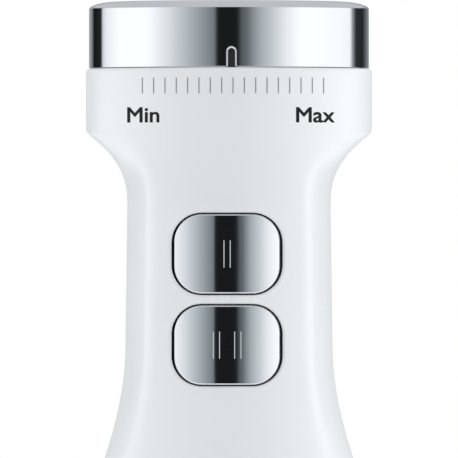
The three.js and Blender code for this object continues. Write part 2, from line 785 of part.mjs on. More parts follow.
put("armature_core", slabZ(slotOutline, coreLow, coreHigh).subtract(rotorBore), finish.laminations);
const endTurn = (low, high) =>
  turned(
    [
      [bearingBore + 1.2, low],
      [armatureRadius - 2.4, low],
      [armatureRadius - 0.7, low + 1.4],
      [armatureRadius - 0.7, high - 1.4],
      [armatureRadius - 2.4, high],
      [bearingBore + 1.2, high],
    ],
    16,
  );
const bars = [];
for (let i = 0; i < armature.slots; i++) {
  const depth = armature.slotDepth - 0.9;
  bars.push(
    solid(
      new THREE.BoxGeometry(depth, armature.slotWidth - 2 * windingGap, coreHigh - coreLow + 2)
        .translate(armatureRadius - 0.6 - depth / 2, 0, (coreLow + coreHigh) / 2)
        .rotateZ((i * 2 * Math.PI) / armature.slots),
    ),
  );
}
put(
  "armature_winding",
  joined([endTurn(windingLow, coreLow - windingGap), endTurn(coreHigh + windingGap, windingHigh), ...bars]),
  finish.copper,
);
const commutatorLow = windingHigh + 0.6;
const commutatorHigh = commutatorLow + commutator.height;
put(
  "commutator",
  slabZ(slottedOutline(commutator.radius, 10, 0.5, 0.6), commutatorLow, commutatorHigh).subtract(rotorBore),
  finish.copper,
);
const brushZ = (commutatorLow + commutatorHigh) / 2;
for (const [name, side] of sides) {
  const from = commutator.radius + 0.35;
  const [y, z] = [brush.width / 2, brush.height / 2];
  const holderEnd = motorRadius - 3.5;
  const [sleeveY, sleeveZ] = [y + brush.sleeve, z + brush.sleeve];
  const tip = disc(from, brushZ - z - 1, brushZ + z + 1, 28);
  put(
    `carbon_brush_${name}`,
    block(...span(side, from - 1.5, from + brush.length), -y, y, brushZ - z, brushZ + z).subtract(tip),
    finish.carbon,
  );
  const sleeve = block(
    ...span(side, from + 2.6, holderEnd),
    -sleeveY,
    sleeveY,
    brushZ - sleeveZ,
    brushZ + sleeveZ,
  );
  const hangerLow = brushZ + sleeveZ - 0.1;
  const hanger = block(...span(side, holderEnd - 4, holderEnd), -y, y, hangerLow, motorTop - seatGap);
  const bore = [-y - seatGap, y + seatGap, brushZ - z - seatGap, brushZ + z + seatGap];
  put(
    `brush_holder_${name}`,
    sleeve.add(hanger).subtract(block(...span(side, 0, wide), ...bore)),
    finish.bronze,
  );
}

const fanLow = motorBase + 1.5 + bearing.height + 0.8;
const fanBlades = [];
for (let i = 0; i < fan.blades; i++) {
  fanBlades.push(
    solid(
      new THREE.BoxGeometry(fanRadius * 0.58, 1, fan.height - 1)
        .rotateZ(0.5)
        .translate(fanRadius * 0.64, 0, fanLow + fan.height / 2 + 0.5)
        .rotateZ((i * 2 * Math.PI) / fan.blades),
    ),
  );
}
put(
  "cooling_fan",
  joined([
    ring(bearingBore, fanRadius, fanLow, fanLow + 1.2, 24),
    ring(bearingBore, 6, fanLow, fanLow + fan.height, 14),
    ...fanBlades,
  ]),
  finish.blackPlastic,
);
const couplingLow = spigotTop - coupling.height - 1.5;
const couplingHigh = couplingLow + coupling.height;
const shaftLow = couplingHigh + 1;
put("motor_shaft", disc(motor.shaftRadius, shaftLow, motorTop + bearing.height + 4, 20), finish.steel);

// ---- motor coupling and the socket it drives
function lobedOutline(grow) {
  const shape = new THREE.Shape();
  const steps = coupling.lobes * 4;
  for (let i = 0; i < steps; i++) {
    const a = (i / steps) * 2 * Math.PI;
    const radius = coupling.radius + grow - (coupling.lobeDepth / 2) * (1 - Math.cos(coupling.lobes * a));
    const point = [radius * Math.cos(a), radius * Math.sin(a)];
    if (i === 0) shape.moveTo(...point);
    else shape.lineTo(...point);
  }
  return shape;
}
put(
  "motor_coupling",
  slabZ(lobedOutline(0), couplingLow, couplingHigh)
    .add(disc(6.5, couplingHigh - 0.1, motorBase - 0.8, 18))
    .subtract(disc(bearingBore, shaftLow - seatGap, motorBase + 1, 20)),
  finish.blackPlastic,
);
const driveShaftTop = handleBottom + 1;
const cupRadius = coupling.radius + runGap + coupling.wall;
put(
  "drive_socket",
  cutAway(disc(cupRadius, handleBottom - 2, couplingHigh - 1.5, 20), [
    slabZ(lobedOutline(runGap), couplingLow - 0.6, couplingHigh),
    disc(driveShaft.radius + seatGap, below - 5, driveShaftTop + seatGap, 20),
  ]),
  finish.blackPlastic,
);

// ---- coupling socket, latch clip and release buttons
const grooveZ = handleBottom + spigot.grooveUp;
const legX = spigotRadius - spigot.grooveDepth + seatGap + latchWire;
const flangeLow = handleBottom + handle.floor + seatGap;
const flangeRadius = socketOuter + 2.4;
const slotHalf = latchWire + 0.7;
const slotLength = Math.sqrt(socketOuter ** 2 - (legX - slotHalf) ** 2) + cutOver;
put(
  "coupling_socket",
  cutAway(
    turned(
      [
        [socketInner, handleBottom + seatGap],
        [socketOuter, handleBottom + seatGap],
        [socketOuter, flangeLow],
        [flangeRadius, flangeLow],
        [flangeRadius, flangeLow + 1.6],
        [socketOuter, flangeLow + 1.6],
        [socketOuter, socketTop],
        [cupRadius + 1.2, socketTop],
        [cupRadius + 1.2, socketTop - socket.roof],
        [socketInner, socketTop - socket.roof],
      ],
      20,
    ),
    sides.map(([, side]) => {
      const across = span(side, legX - slotHalf, wide);
      return block(...across, -slotLength, slotLength, grooveZ - slotHalf, grooveZ + slotHalf);
    }),
  ),
  finish.blackPlastic,
);
const bendRadius = socketOuter + 0.6 + latchWire;
const bendStart = Math.acos(legX / bendRadius);
const clipPath = new THREE.CurvePath();
const bendEnds = [-1, 1].map((side) => new THREE.Vector3(side * legX, bendRadius * Math.sin(bendStart), 0));
class Bend extends THREE.Curve {
  getPoint(t, target = new THREE.Vector3()) {
    const a = bendStart + (Math.PI - 2 * bendStart) * t;
    return target.set(bendRadius * Math.cos(a), bendRadius * Math.sin(a), 0);
  }
}
const legEnd = -spigotRadius * 0.6;
clipPath.add(new THREE.LineCurve3(new THREE.Vector3(legX, legEnd, 0), bendEnds[1]));
clipPath.add(new Bend());
clipPath.add(new THREE.LineCurve3(bendEnds[0], new THREE.Vector3(-legX, legEnd, 0)));
put(
  "latch_clip",
  new THREE.ExtrudeGeometry(new THREE.Shape().absarc(0, 0, latchWire, 0, 2 * Math.PI), {
    steps: 26,
    curveSegments: 3,
    bevelEnabled: false,
    extrudePath: clipPath,
  }).translate(0, 0, grooveZ),
  finish.steel,
);
const releaseWall = barrelRadius(releaseZ - release.height / 2 - 1) - handle.wall - seatGap;
const releaseFlange = Math.sqrt(releaseWall ** 2 - (release.width / 2 + release.lip) ** 2) - seatGap;
for (const [name, side] of sides) {
  const [y, z] = [release.width / 2, release.height / 2];
  const face = barrelRadius(releaseZ) + release.proud;
  const capBlock = block(...span(side, releaseFlange - 0.1, face + 2), -y, y, releaseZ - z, releaseZ + z);
  const cap = capBlock.intersect(disc(face, releaseZ - 2 * z, releaseZ + 2 * z, 72));
  const flange = block(
    ...span(side, releaseFlange - release.flange, releaseFlange),
    -y - release.lip,
    y + release.lip,
    releaseZ - z - 1,
    releaseZ + z + 1,
  );
  put(`release_button_${name}`, cap.add(flange), finish.greyPlastic);
  const [from, to] = [socketOuter + 0.2, releaseFlange - release.flange - 0.2];
  put(
    `release_spring_${name}`,
    coilSpring(2.6, to - from, 2, 0.2).rotateY((side * Math.PI) / 2).translate(side * from, 0, releaseZ),
    finish.steel,
  );
}

// ---- blending shaft: collar with spigot, tube, bell and bearings
const collarLow = attachment.length - attachment.collarHeight;
const collarTop = handleBottom - seatGap;
const tubeEnd = collarLow + 8;
const tubeLow = bell.height - 10;
const collarNeck = tube.topRadius + 2.2;
const flare = (u) => collarNeck + (bottomRadius - collarNeck) * Math.sin((u * Math.PI) / 2) ** 2;
const collarZ = (u) => collarLow + u * (collarTop - 1 - collarLow);
const floorTop = collarTop - 2.4;
const bushSeat = driveShaft.bushRadius + seatGap;
const upperBushLow = floorTop - driveShaft.bushHeight - 4;
const collarSteps = 6;
const collarOutline = [];
for (let i = 0; i <= collarSteps; i++) {
  collarOutline.push([flare(i / collarSteps), collarZ(i / collarSteps)]);
}
collarOutline.push(
  [bottomRadius - 1, collarTop],
  [spigotRadius, collarTop],
  [spigotRadius, grooveZ - spigot.grooveHeight / 2],
  [spigotRadius - spigot.grooveDepth, grooveZ - spigot.grooveHeight / 2],
  [spigotRadius - spigot.grooveDepth, grooveZ + spigot.grooveHeight / 2],
  [spigotRadius, grooveZ + spigot.grooveHeight / 2],
  [spigotRadius, spigotTop - 1],
  [spigotRadius - 1, spigotTop],
  [spigotRadius - 3.5, spigotTop],
  [spigotRadius - 3.5, floorTop],
  [bushSeat, floorTop],
  [bushSeat, upperBushLow - seatGap],
  [bushSeat + 2.2, upperBushLow - seatGap],
  [bushSeat + 2.2, floorTop - 2.4],
);
for (let i = collarSteps; i > 0; i--) {
  const z = collarZ(i / collarSteps);
  if (z < floorTop - 2.4 && z > tubeEnd + 2) collarOutline.push([flare(i / collarSteps) - handle.wall, z]);
}
collarOutline.push([tube.topRadius + seatGap, tubeEnd + 0.8], [tube.topRadius + seatGap, collarLow]);
put("shaft_collar", turned(collarOutline, 22), finish.whiteGloss);

const [taperLow, taperHigh] = [bell.height + 14, collarLow - 10];
put(
  "shaft_tube",
  turned(
    [
      [tube.radius - tube.wall, tubeLow],
      [tube.radius, tubeLow],
      [tube.radius, taperLow],
      [tube.topRadius, taperHigh],
      [tube.topRadius, tubeEnd],
      [tube.topRadius - tube.wall, tubeEnd],
      [tube.topRadius - tube.wall, taperHigh],
      [tube.radius - tube.wall, taperLow],
    ],
    20,
  ),
  finish.steel,
);

// Bell guard: a drawn cup with scalloped rim and side slots.
const neckRadius = tube.radius + seatGap + bell.wall;
const bellTop = bell.height - 6;
const bellCurve = (s) => neckRadius + (bell.radius - neckRadius) * (1 - (1 - s) ** 2.4) ** 0.75;
const bellSteps = 6;
const bellOutline = [[neckRadius, bell.height]];
for (let i = 0; i <= bellSteps; i++) {
  const s = (i / bellSteps) ** 1.4;
  bellOutline.push([bellCurve(s), bellTop * (1 - s)]);
}
const bead = { width: 2.2, height: 2 };
bellOutline.push([bell.radius - bead.width, 0], [bell.radius - bead.width, bead.height]);
for (let i = bellSteps - 1; i > 0; i--) {
  const s = (i / bellSteps) ** 1.4;
  const z = bellTop * (1 - s) - bell.wall * (1 - s);
  if (z > bead.height + 1) bellOutline.push([Math.max(bellCurve(s) - bell.wall, neckRadius - bell.wall), z]);
}
bellOutline.push([neckRadius - bell.wall, bellTop - bell.wall], [neckRadius - bell.wall, bell.height]);
const windowOutline = roundedOutline(bell.windowWidth, 2 * bell.windowHeight, 5);
const slotCorner = bell.slotWidth / 2 - 0.05;
const slotShape = roundedOutline(bell.slotWidth, bell.slotLength, slotCorner, 0, bell.height * 0.62);
put(
  "bell_guard",
  cutAway(
    turned(bellOutline, 32),
    quarters.flatMap((turn) => [
      slabY(windowOutline, -bell.radius - cutOver, -neckRadius, turn),
      slabY(slotShape, -bell.radius - cutOver, -neckRadius, turn + Math.PI / 4),
    ]),
  ),
  finish.steel,
);

const hubRadius = tube.radius - tube.wall - seatGap;
const sealLow = bell.height / 2 - 1;
const lowerBushLow = sealLow + 6;
const lowerBushHigh = lowerBushLow + driveShaft.bushHeight;
const sealRadius = 7.8;
put(
  "bearing_carrier",
  turned(
    [
      [sealRadius + seatGap, sealLow],
      [sealRadius + 2, sealLow],
      [tube.radius - 0.4, sealLow + 8],
      [tube.radius - 0.4, tubeLow - seatGap],
      [hubRadius, tubeLow - seatGap],
      [hubRadius, tubeLow + 8],
      [hubRadius - 2.2, tubeLow + 8],
      [hubRadius - 2.2, lowerBushHigh + 2],
      [driveShaft.radius + 1.2, lowerBushHigh + 2],
      [driveShaft.radius + 1.2, lowerBushHigh + seatGap],
      [bushSeat, lowerBushHigh + seatGap],
      [bushSeat, sealLow + 5],
      [sealRadius + seatGap, sealLow + 5],
    ],
    16,
  ),
  finish.blackPlastic,
);
const shaftBore = driveShaft.radius + runGap;
for (const [name, low] of [["upper_bush", upperBushLow], ["lower_bush", lowerBushLow]]) {
  put(name, ring(shaftBore, driveShaft.bushRadius, low, low + driveShaft.bushHeight, 16), finish.bronze);
}
put("shaft_seal", ring(shaftBore, sealRadius, sealLow + 0.4, sealLow + 4.7, 18), finish.rubber);

// ---- drive shaft, blade hub and blade
const bladeLow = blade.height - blade.thickness / 2;
const bladeHigh = blade.height + blade.thickness / 2;
const driveShaftLow = bladeHigh + 2;
put("drive_shaft", disc(driveShaft.radius, driveShaftLow, driveShaftTop, 20), finish.steel);
put(
  "blade_hub",
  turned(
    [
      [0, bladeLow - seatGap - 2.4],
      [blade.hubRadius - 1.4, bladeLow - seatGap - 2.4],
      [blade.hubRadius, bladeLow - seatGap - 1.4],
      [blade.hubRadius, bladeLow - seatGap],
      [blade.neckRadius, bladeLow - seatGap],
      [blade.neckRadius, bladeHigh + seatGap],
      [blade.hubRadius, bladeHigh + seatGap],
      [blade.hubRadius - 0.6, sealLow - 1.5],
      [driveShaft.radius + seatGap, sealLow - 1.5],
      [driveShaft.radius + seatGap, driveShaftLow - seatGap],
      [0, driveShaftLow - seatGap],
    ],
    18,
  ),
  finish.steel,
);
// Two swept arms, one bent up and one bent down, that narrow and thin out beyond the flat middle.
const arm = { flat: 0.32, narrowing: 0.45, sweep: 2.6, edge: 1.5 };
const strip = new THREE.BoxGeometry(blade.span, blade.width, blade.thickness, 14, 2, 1);
const stripPoints = strip.attributes.position;
for (let i = 0; i < stripPoints.count; i++) {
  const [x, y, z] = [stripPoints.getX(i), stripPoints.getY(i), stripPoints.getZ(i)];
  const along = (2 * x) / blade.span;
  const way = Math.sign(along);
  const away = Math.max(Math.abs(along) - arm.flat, 0) / (1 - arm.flat);
  const swept = y * (1 - arm.narrowing * away ** 2) - way * arm.sweep * away ** 2;
  const thinned = z * (1 - arm.edge * away * Math.max((way * y) / blade.width, 0));
  stripPoints.setXYZ(i, x, swept, thinned + way * blade.bend * away ** 2 + blade.height);
}
put(
  "blade",
  solid(strip)
    .add(disc(blade.neckRadius + 3, bladeLow, bladeHigh, 20))
    .subtract(disc(blade.neckRadius + seatGap, bladeLow - 1, bladeHigh + 1, 18)),
  finish.steel,
);

export default blender;
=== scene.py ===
"""Immersion blender: handle, speed dial, push buttons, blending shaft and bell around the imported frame."""

import json
import math

import bmesh
import bpy
import numpy as np
from bpy.props import FloatProperty, FloatVectorProperty, IntProperty, PointerProperty, StringProperty
from bpy.types import Operator, Panel, PropertyGroup
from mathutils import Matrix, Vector
from mathutils.bvhtree import BVHTree
from mathutils.interpolate import poly_3d_calc


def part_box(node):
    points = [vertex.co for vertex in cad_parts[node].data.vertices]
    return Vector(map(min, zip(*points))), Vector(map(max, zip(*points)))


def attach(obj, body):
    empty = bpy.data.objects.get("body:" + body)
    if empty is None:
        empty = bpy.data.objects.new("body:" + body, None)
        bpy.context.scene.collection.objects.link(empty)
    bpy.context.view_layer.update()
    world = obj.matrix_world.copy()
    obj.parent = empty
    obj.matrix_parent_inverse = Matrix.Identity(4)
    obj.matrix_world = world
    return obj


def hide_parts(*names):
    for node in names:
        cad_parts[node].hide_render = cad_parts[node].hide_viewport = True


bl_info = {
    "name": "Immersion blender",
    "version": (1, 0, 0),
    "blender": (4, 5, 0),
    "location": "View3D > Sidebar > Blender",
    "description": "Builds an immersion blender piece by piece",
    "category": "Add Mesh",
}

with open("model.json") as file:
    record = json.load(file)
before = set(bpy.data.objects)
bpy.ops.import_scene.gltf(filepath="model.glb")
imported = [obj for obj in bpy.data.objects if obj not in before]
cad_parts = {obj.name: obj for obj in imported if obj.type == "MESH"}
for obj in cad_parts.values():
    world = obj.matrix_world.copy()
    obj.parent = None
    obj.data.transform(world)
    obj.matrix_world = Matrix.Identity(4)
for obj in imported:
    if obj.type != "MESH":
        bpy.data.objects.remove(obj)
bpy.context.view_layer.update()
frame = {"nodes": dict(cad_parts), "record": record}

MM = 0.001
FULL_TURN = 2 * math.pi
QUARTER = math.pi / 2


def lows(node):
    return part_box(node)[0]


def highs(node):
    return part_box(node)[1]


HANDLE_LOW = lows("front_housing").z
BAND_TOP = highs("front_housing").z
PARTING_Y = (highs("front_housing").y + lows("rear_housing").y) / 2
PARTING_GAP = lows("rear_housing").y - highs("front_housing").y
DIAL_LOW = lows("dial_cover").z
DIAL_TOP = highs("dial_cover").z
BUTTONS = {"one": 1, "two": 2}  # each button and its number of bars
BUTTON_RISE = {"one": 0.0, "two": 0.4 * MM}  # how far each cap sits above its plunger's middle
FIT = 0.3 * MM  # clearance between pieces that fit into each other
LIP = 0.7 * MM  # fillet around each button's window
CASING_TURN = 256  # divisions around the casing
FRONT_REACH, FRONT_LOSS = 42.8 * MM, 7 * MM  # front of the grip's oval, and what it loses towards the barrel
BACK_REACH = 25 * MM  # back of the grip
RIDGE = 1.3 * MM  # softness of the line where the grip meets the barrel
SHOULDER_BEND, FLARE_BEND = 2.5, 1.75  # how late the shoulder and the flare swing out, as powers
FRONT_FULLNESS, BACK_FULLNESS = 2.0, 2.3  # powers of the grip's oval in front and behind
RELEASE_FLANGE = (1.5 * MM, 1.0 * MM)  # hidden edge of a release button, across and up
RELEASE_GAP = 0.45 * MM  # around each release button
TUBE_TAPER = 1.8 * MM  # what the shaft's tube loses in radius towards its foot
BLADE_LIFT = 2.7 * MM  # from the hub's foot to the blade


# ---------------------------------------------------------------- settings


class HousingSettings(PropertyGroup):
    """Sizes and colour of the two casing shells."""

    radius: FloatProperty(name="Radius", description="Barrel and head band", default=0.0325, unit="LENGTH")
    bottom_radius: FloatProperty(
        name="Bottom radius", description="Bottom edge", default=0.0285, unit="LENGTH"
    )
    taper_height: FloatProperty(name="Taper height", description="Bottom taper", default=0.048, unit="LENGTH")
    band_height: FloatProperty(name="Band height", description="Head band", default=0.0146, unit="LENGTH")
    waist_half: FloatProperty(name="Waist half-width", description="Grip", default=0.0231, unit="LENGTH")
    widening: FloatProperty(name="Widening", description="Down the grip", default=0.00045, unit="LENGTH")
    straight: FloatProperty(name="Straight length", description="Grip length", default=0.033, unit="LENGTH")
    shoulder: FloatProperty(name="Shoulder height", description="Grip to band", default=0.0164, unit="LENGTH")
    flare: FloatProperty(name="Flare height", description="Grip to barrel", default=0.0352, unit="LENGTH")
    wall: FloatProperty(name="Wall", description="Shell thickness", default=0.0022, unit="LENGTH")
    edge: FloatProperty(name="Top edge", description="Rounding of the top edge", default=0.001, unit="LENGTH")
    colour: FloatVectorProperty(
        name="Colour",
        description="Casing plastic",
        default=(0.86, 0.875, 0.885),
        subtype="COLOR",
        min=0,
        max=1,
    )
    roughness: FloatProperty(name="Roughness", description="Casing plastic", default=0.3, min=0, max=1)


class DialSettings(PropertyGroup):
    """Sizes of the chrome speed dial."""

    crown_inset: FloatProperty(name="Crown inset", description="Rounded rim", default=0.006, unit="LENGTH")
    crown: FloatProperty(name="Crown", description="Height of the crowned top", default=0.0019, unit="LENGTH")
    wall: FloatProperty(name="Wall", description="Cover thickness", default=0.0015, unit="LENGTH")
    pointer_width: FloatProperty(name="Pointer width", description="Notch", default=0.0025, unit="LENGTH")
    pointer_height: FloatProperty(name="Pointer height", description="Notch", default=0.0044, unit="LENGTH")
    pointer_turn: FloatProperty(
        name="Pointer turn", description="Where the notch points", default=math.radians(1.0), unit="ROTATION"
    )


class ButtonSettings(PropertyGroup):
    """Sizes of the two push buttons."""

    width: FloatProperty(name="Width", description="Button cap", default=0.02386, unit="LENGTH")
    height: FloatProperty(name="Height", description="Button cap", default=0.01778, unit="LENGTH")
    corner: FloatProperty(name="Corner", description="Corner radius", default=0.0062, unit="LENGTH")
    proud: FloatProperty(name="Proud", description="Stands out of the casing", default=0.0002, unit="LENGTH")
    gap: FloatProperty(name="Gap", description="Slot beside the cap", default=0.00055, unit="LENGTH")
    snug: FloatProperty(name="Snug", description="Less slot above and below", default=0.00022, unit="LENGTH")
    rim: FloatProperty(name="Rim", description="Rolled edge of the cap", default=0.00028, unit="LENGTH")
    flat_half: FloatProperty(
        name="Flat half", description="Plain middle of the cap", default=0.0026, unit="LENGTH"
    )
    falling: FloatProperty(name="Falling", description="Extra rounding per metre", default=11.25, min=0)
    aside: FloatProperty(name="Aside", description="Sideways place", default=-0.00043, unit="LENGTH")
    bar_width: FloatProperty(
        name="Bar width", description="Between a bar's two ribs", default=0.0014, unit="LENGTH"
    )
    bar_height: FloatProperty(
        name="Bar height", description="Length of its ribs", default=0.0061, unit="LENGTH"
    )
    bar_pitch: FloatProperty(name="Bar pitch", description="Between bars", default=0.0048, unit="LENGTH")
    rib: FloatProperty(name="Rib", description="Radius of a bar's ribs", default=0.00009, unit="LENGTH")


class ScaleSettings(PropertyGroup):
    """The printed speed scale under the dial."""

    ticks: IntProperty(name="Ticks", description="Number of strokes", default=17, min=2)
    pitch: FloatProperty(name="Pitch", description="Between strokes", default=0.002553, unit="LENGTH")
    middle: FloatProperty(name="Middle", description="Sideways place", default=0.0009, unit="LENGTH")
    tick_top: FloatProperty(
        name="Stroke top", description="Below the band's edge", default=0.0023, unit="LENGTH"
    )
    tick_length: FloatProperty(name="Stroke length", description="Height", default=0.0036, unit="LENGTH")
    tick_width: FloatProperty(name="Stroke width", description="Width", default=0.00024, unit="LENGTH")
    word_low: FloatProperty(
        name="Word height", description="Height of its foot", default=0.36368, unit="LENGTH"
    )
    word_height: FloatProperty(name="Letter height", description="Capitals", default=0.00336, unit="LENGTH")
    low_start: FloatProperty(name="Low word's left", description="Sideways", default=-0.02297, unit="LENGTH")
    low_width: FloatProperty(name="Low word's width", description="Width", default=0.0073, unit="LENGTH")
    high_start: FloatProperty(name="High word's left", description="Sideways", default=0.0151, unit="LENGTH")
    high_width: FloatProperty(name="High word's width", description="Width", default=0.0088, unit="LENGTH")
    boldness: FloatProperty(name="Boldness", description="Added to each side of a stroke", default=0.02)
    low_word: StringProperty(name="Low word", description="At the slow end", default="Min")
    high_word: StringProperty(name="High word", description="At the fast end", default="Max")
    ink: FloatVectorProperty(
        name="Ink", description="Word colour", default=(0.012, 0.012, 0.014), subtype="COLOR", min=0, max=1
    )


class ShaftSettings(PropertyGroup):
    """Look of the blending shaft and its bell."""

    bell_wall: FloatProperty(name="Bell wall", description="Sheet thickness", default=0.0012, unit="LENGTH")
    window_width: FloatProperty(name="Window width", description="Rim scallops", default=0.018, unit="LENGTH")
    window_height: FloatProperty(
        name="Window height", description="Rim scallops", default=0.0085, unit="LENGTH"
    )
    slot_width: FloatProperty(
        name="Slot width", description="Slots between scallops", default=0.005, unit="LENGTH"
    )
    slot_length: FloatProperty(name="Slot length", description="Slots", default=0.011, unit="LENGTH")
    blade_width: FloatProperty(name="Blade width", description="At the middle", default=0.010, unit="LENGTH")
    blade_thickness: FloatProperty(name="Blade thickness", description="Sheet", default=0.0016, unit="LENGTH")
    blade_bend: FloatProperty(name="Blade bend", description="Rise of one tip", default=0.004, unit="LENGTH")
    steel: FloatVectorProperty(
        name="Steel", description="Stainless steel", default=(0.62, 0.62, 0.63), subtype="COLOR", min=0, max=1
    )


class StageSettings(PropertyGroup):
    """Camera, floor and studio light."""

    distance: FloatProperty(name="Distance", description="Camera to axis", default=2.85, unit="LENGTH")
    field: FloatProperty(name="Field", description="Width seen at the axis", default=0.10409, unit="LENGTH")
    height: FloatProperty(name="Height", description="Camera height", default=0.3396, unit="LENGTH")
    strength: FloatProperty(name="Strength", description="Studio light", default=1.0, min=0)
    floor: FloatProperty(name="Floor", description="Floor radius", default=1.6, unit="LENGTH")


# ---------------------------------------------------------------- mesh tools


def mesh_of(name, build, sharp_angle=math.radians(32)):
    """A smooth mesh from a bmesh filled by build, with its sharp edges marked."""
    bm = bmesh.new()
    build(bm)
    bmesh.ops.recalc_face_normals(bm, faces=bm.faces)
    mesh = bpy.data.meshes.new(name)
    bm.to_mesh(mesh)
    bm.free()
    mesh.shade_smooth()
    mesh.set_sharp_from_angle(angle=sharp_angle)
    return mesh


def add_piece(name, mesh, material, body, replaces=()):
    """Links a piece, gives it its material and slot, and lets it ride on its body."""
    piece = bpy.data.objects.new(name, mesh)
    bpy.context.scene.collection.objects.link(piece)
    piece.data.materials.append(material)
    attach(piece, body)
    if replaces:
        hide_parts(*replaces)
    return piece


def bridge(bm, rings, closed_rows=False):
    """Quads between neighbouring rings of vertices, each ring closed on itself."""
    pairs = list(zip(rings, rings[1:] + rings[:1] if closed_rows else rings[1:]))
    for ring, following in pairs:
        count = max(len(ring), len(following))
        if count == 1:
            continue
        for i in range(count):
            j = (i + 1) % count
            if len(ring) == 1:
                bm.faces.new((ring[0], following[j], following[i]))
            elif len(following) == 1:
                bm.faces.new((ring[i], ring[j], following[0]))
            else:
                bm.faces.new((ring[i], ring[j], following[j], following[i]))


def filleted(corners, radius, steps=4):
    """A closed outline with each corner rounded; a corner may carry its own radius as a third value."""
    outline = []
    count = len(corners)
    for i, corner in enumerate(corners):
        here = Vector(corner[:2])
        before = Vector(corners[i - 1][:2]) - here
        after = Vector(corners[(i + 1) % count][:2]) - here
        reach = corner[2] if len(corner) > 2 else radius
        if here.x < 1e-9 or reach <= 0 or before.length < 1e-9 or after.length < 1e-9:
            outline.append(here)
            continue
        half = before.angle(after) / 2
        if half > math.radians(86):
            outline.append(here)
            continue
        cut = min(reach / math.tan(half), 0.45 * before.length, 0.45 * after.length)
        start = here + before.normalized() * cut
        end = here + after.normalized() * cut
        for k in range(steps + 1):
            t = k / steps
            outline.append(start * (1 - t) ** 2 + here * 2 * t * (1 - t) + end * t * t)
    return outline


def turned(bm, outline, segments=128):
    """Turns a closed outline of (radius, height) about Z."""
    rings = []
    for r, z in outline:
        if r < 1e-9:
            rings.append([bm.verts.new((0, 0, z))])
            continue
        angles = [FULL_TURN * i / segments for i in range(segments)]
        rings.append([bm.verts.new((r * math.cos(a), r * math.sin(a), z)) for a in angles])
    closed = len(rings[0]) > 1
    bridge(bm, rings, closed_rows=closed)


def rounded_rectangle(width, height, corner, steps=10):
    """Points of a rounded rectangle about the origin, counter-clockwise."""
    points = []
    corner = max(corner, 1e-5)
    for k, (sx, sy) in enumerate([(1, 1), (-1, 1), (-1, -1), (1, -1)]):
        cx = sx * (width / 2 - corner)
        cy = sy * (height / 2 - corner)
        for i in range(steps + 1):
            a = (k + i / steps) * QUARTER
            points.append((cx + corner * math.cos(a), cy + corner * math.sin(a)))
    return points


def evened(points, spacing):
    """A closed outline with its straight stretches divided."""
    even = []
    for i, point in enumerate(points):
        here, following = Vector(point), Vector(points[(i + 1) % len(points)])
        parts = max(1, round((following - here).length / spacing))
        even.extend(here.lerp(following, k / parts) for k in range(parts))
    return even


def rod(bm, path, radius, sides):
    """A round rod with flat ends along a path of points."""
    rings = []
    side = Vector((0, 0, 1))
    for i, point in enumerate(path):
        ahead = Vector(path[min(i + 1, len(path) - 1)]) - Vector(path[max(i - 1, 0)])
        ahead.normalize()
        across = ahead.cross(side)
        if across.length < 1e-4:
            across = ahead.cross(Vector((1, 0, 0)))
        across.normalize()
        side = across.cross(ahead).normalized()
        ring = []
        for k in range(sides):
            a = FULL_TURN * k / sides
            ring.append(bm.verts.new(Vector(point) + radius * (across * math.cos(a) + side * math.sin(a))))
        rings.append(ring)
    bridge(bm, rings)
    bm.faces.new(rings[0][::-1])
    bm.faces.new(rings[-1])


def circle(radius, count, turn=1):
    """Points of a circle about the origin; a turn of -1 takes them the other way round."""
    angles = np.arange(count) * FULL_TURN / count
    return [(turn * radius * math.cos(a), radius * math.sin(a)) for a in angles]


def prism(bm, outline, place, near, far):
    """A closed prism: place(u, v, depth) puts each outline point at both depths."""
    rings = [[bm.verts.new(place(u, v, depth)) for u, v in outline] for depth in (near, far)]
    bridge(bm, rings)
    bm.faces.new(rings[0][::-1])
    bm.faces.new(rings[1])


def facing(azimuth):
    """A place for prism: u across, v up and depth outwards, facing an azimuth measured from -Y."""
    out = Vector((math.sin(azimuth), -math.cos(azimuth), 0))
    across = Vector((math.cos(azimuth), math.sin(azimuth), 0))
    return lambda u, v, depth: across * u + out * depth + Vector((0, 0, v))


def shaded_like(mesh, smooth):
    """Gives the faces that a cut left on a surface the smooth shading that the surface had."""
    smooth.calc_loop_triangles()
    triangles = smooth.loop_triangles
    points = [v.co.copy() for v in smooth.vertices]
    corner_normals = [Vector(n.vector) for n in smooth.corner_normals]
    tree = BVHTree.FromPolygons(points, [tuple(t.vertices) for t in triangles])
    known = {tuple(round(c, 6) for c in point) for point in points}
    fresh = [tuple(round(c, 6) for c in v.co) not in known for v in mesh.vertices]
    beside = {v for p in mesh.polygons if any(fresh[v] for v in p.vertices) for v in p.vertices}
    normals = [Vector((0, 0, 0))] * len(mesh.loops)
    for polygon in mesh.polygons:
        if beside.isdisjoint(polygon.vertices):
            continue
        middle = polygon.center
        for index in polygon.loop_indices:
            at = mesh.vertices[mesh.loops[index].vertex_index].co
            place, facing_way, hit, distance = tree.find_nearest(at.lerp(middle, 0.02))
            if hit is None or distance > 0.03 * MM or facing_way.dot(polygon.normal) < 0.9:
                continue
            triangle = triangles[hit]
            shares = poly_3d_calc([points[v] for v in triangle.vertices], place)
            blended = Vector((0, 0, 0))
            for share, loop in zip(shares, triangle.loops):
                blended += corner_normals[loop] * share
            normals[index] = blended.normalized()
    mesh.normals_split_custom_set([tuple(n) for n in normals])


